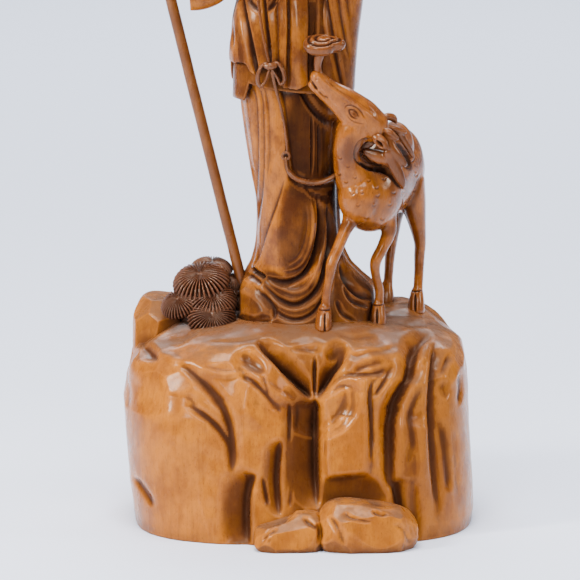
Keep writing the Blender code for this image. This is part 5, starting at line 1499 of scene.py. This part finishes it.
def build_staff():
    foot, hand = place_on_rock(STAFF_FOOT), place_on_rock(STAFF_HAND)
    direction = (hand - foot) / np.linalg.norm(hand - foot)
    side = np.cross(direction, [0, 1, 0])
    side /= np.linalg.norm(side)
    deep = np.cross(direction, side)
    radius, knop = STAFF_DIAMETER / 2, STAFF_KNOP_DIAMETER / 2
    profile = [(radius * share, z) for share, z in STAFF_SOCKET_FOOT]
    profile += [(radius, z) for z in np.linspace(-0.0070, STAFF_RISE - KNOP_LENGTH * knop, 120)]
    turned = [(radius, STAFF_RISE - KNOP_NECK * knop)]
    turned += [(out * knop, STAFF_RISE - down * knop) for out, down in KNOP_PROFILE]
    profile += smooth_curve(turned, 36).tolist()
    angles = np.linspace(0, 2 * math.pi, 48, endpoint=False)
    spoke = np.cos(angles)[:, None] * deep + np.sin(angles)[:, None] * side
    grid = []
    for r, z in profile:
        sway = 1 + 0.018 * np.sin(3 * angles + z * 90) + 0.012 * np.sin(z * 260)
        grid.append(foot + direction * z - spoke * (r * np.minimum(sway, 1.0))[:, None])
    mesh = mesh_from_grids("staff_rod", [np.array(grid)], lambda points: points)
    finish_piece("staff_rod", mesh, STAFF_WOOD, node="staff")


# Floor, light and camera


def plain_material(name, colour, roughness):
    material = bpy.data.materials.new(name)
    material.use_nodes = True
    shader = material.node_tree.nodes["Principled BSDF"]
    shader.inputs["Base Color"].default_value = (*colour, 1.0)
    shader.inputs["Roughness"].default_value = roughness
    return material


def build_floor():
    bpy.ops.mesh.primitive_plane_add(size=30.0, location=(0, 0, 0))
    floor = bpy.context.object
    floor.name = "floor"
    floor.data.materials.append(plain_material("floor_paint", (0.84, 0.87, 1.0), 0.7))


def soft_light(name, place, target, size, power, colour=(1.0, 1.0, 1.0)):
    data = bpy.data.lights.new(name, "AREA")
    data.shape = "RECTANGLE"
    data.size, data.size_y = size
    data.energy = power
    data.color = colour
    lamp = bpy.data.objects.new(name, data)
    lamp.location = place
    lamp.rotation_euler = (Vector(target) - Vector(place)).to_track_quat("-Z", "Y").to_euler()
    bpy.context.scene.collection.objects.link(lamp)


def build_light():
    world = bpy.data.worlds.new("studio")
    bpy.context.scene.world = world
    world.use_nodes = True
    tree = world.node_tree
    background = tree.nodes["Background"]
    background.inputs["Color"].default_value = (0.88, 0.93, 1.0, 1.0)
    sky = shader_node(tree, "ShaderNodeSeparateXYZ")
    tree.links.new(shader_node(tree, "ShaderNodeTexCoord").outputs["Generated"], sky.inputs["Vector"])
    height = combine(tree, "ABSOLUTE", sky.outputs["Z"], 0.0)
    tree.links.new(span(tree, height, 0.10, 0.0, 0.30, 0.85), background.inputs["Strength"])
    middle = (0.0, 0.0, 0.15)
    soft_light("top_box", (-0.1, -0.25, 1.5), middle, (0.6, 0.45), 27.0)
    soft_light("left_box", (-1.4, -0.85, 1.0), middle, (0.28, 0.60), 38.0, (1.0, 0.99, 0.97))
    soft_light("right_box", (1.5, -0.25, 0.9), middle, (0.22, 0.60), 10.0)
    soft_light("front_box", (-0.8, -2.3, 1.1), middle, (0.45, 0.5), 17.0)
    soft_light("fore_box", (0.2, -1.6, 1.5), (0.1, -0.8, 0.0), (1.6, 0.5), 31.0, (0.82, 0.90, 1.0))
    soft_light("floor_box", (0.0, 2.4, 2.3), (0.0, 2.2, 0.0), (3.2, 2.0), 157.0, (0.84, 0.91, 1.0))


SENSOR_WIDTH = 36.0


def build_camera():
    data = bpy.data.cameras.new("camera")
    camera = bpy.data.objects.new("camera", data)
    bpy.context.scene.collection.objects.link(camera)
    aim = Vector(place_on_rock(DRAWING_AIM))
    distance = DRAWING_DISTANCE * UNIT
    camera.location = aim + Vector(TOWARDS_VIEWER) * distance
    camera.rotation_euler = (math.pi / 2 - DRAWING_PITCH, 0, 0)
    data.sensor_width = SENSOR_WIDTH
    data.lens = SENSOR_WIDTH * distance / (FRAME_UNITS * UNIT)
    data.clip_end = 60.0
    bpy.context.scene.camera = camera


build_camera()
build_floor()
build_light()
build_rock()
build_boulders()
build_pines()
build_skirt()
build_coat()
build_sleeves()
build_head()
build_hair()
build_bun()
build_ears()
build_deer()
build_antlers()
build_lingzhi()
build_sash()
build_staff()
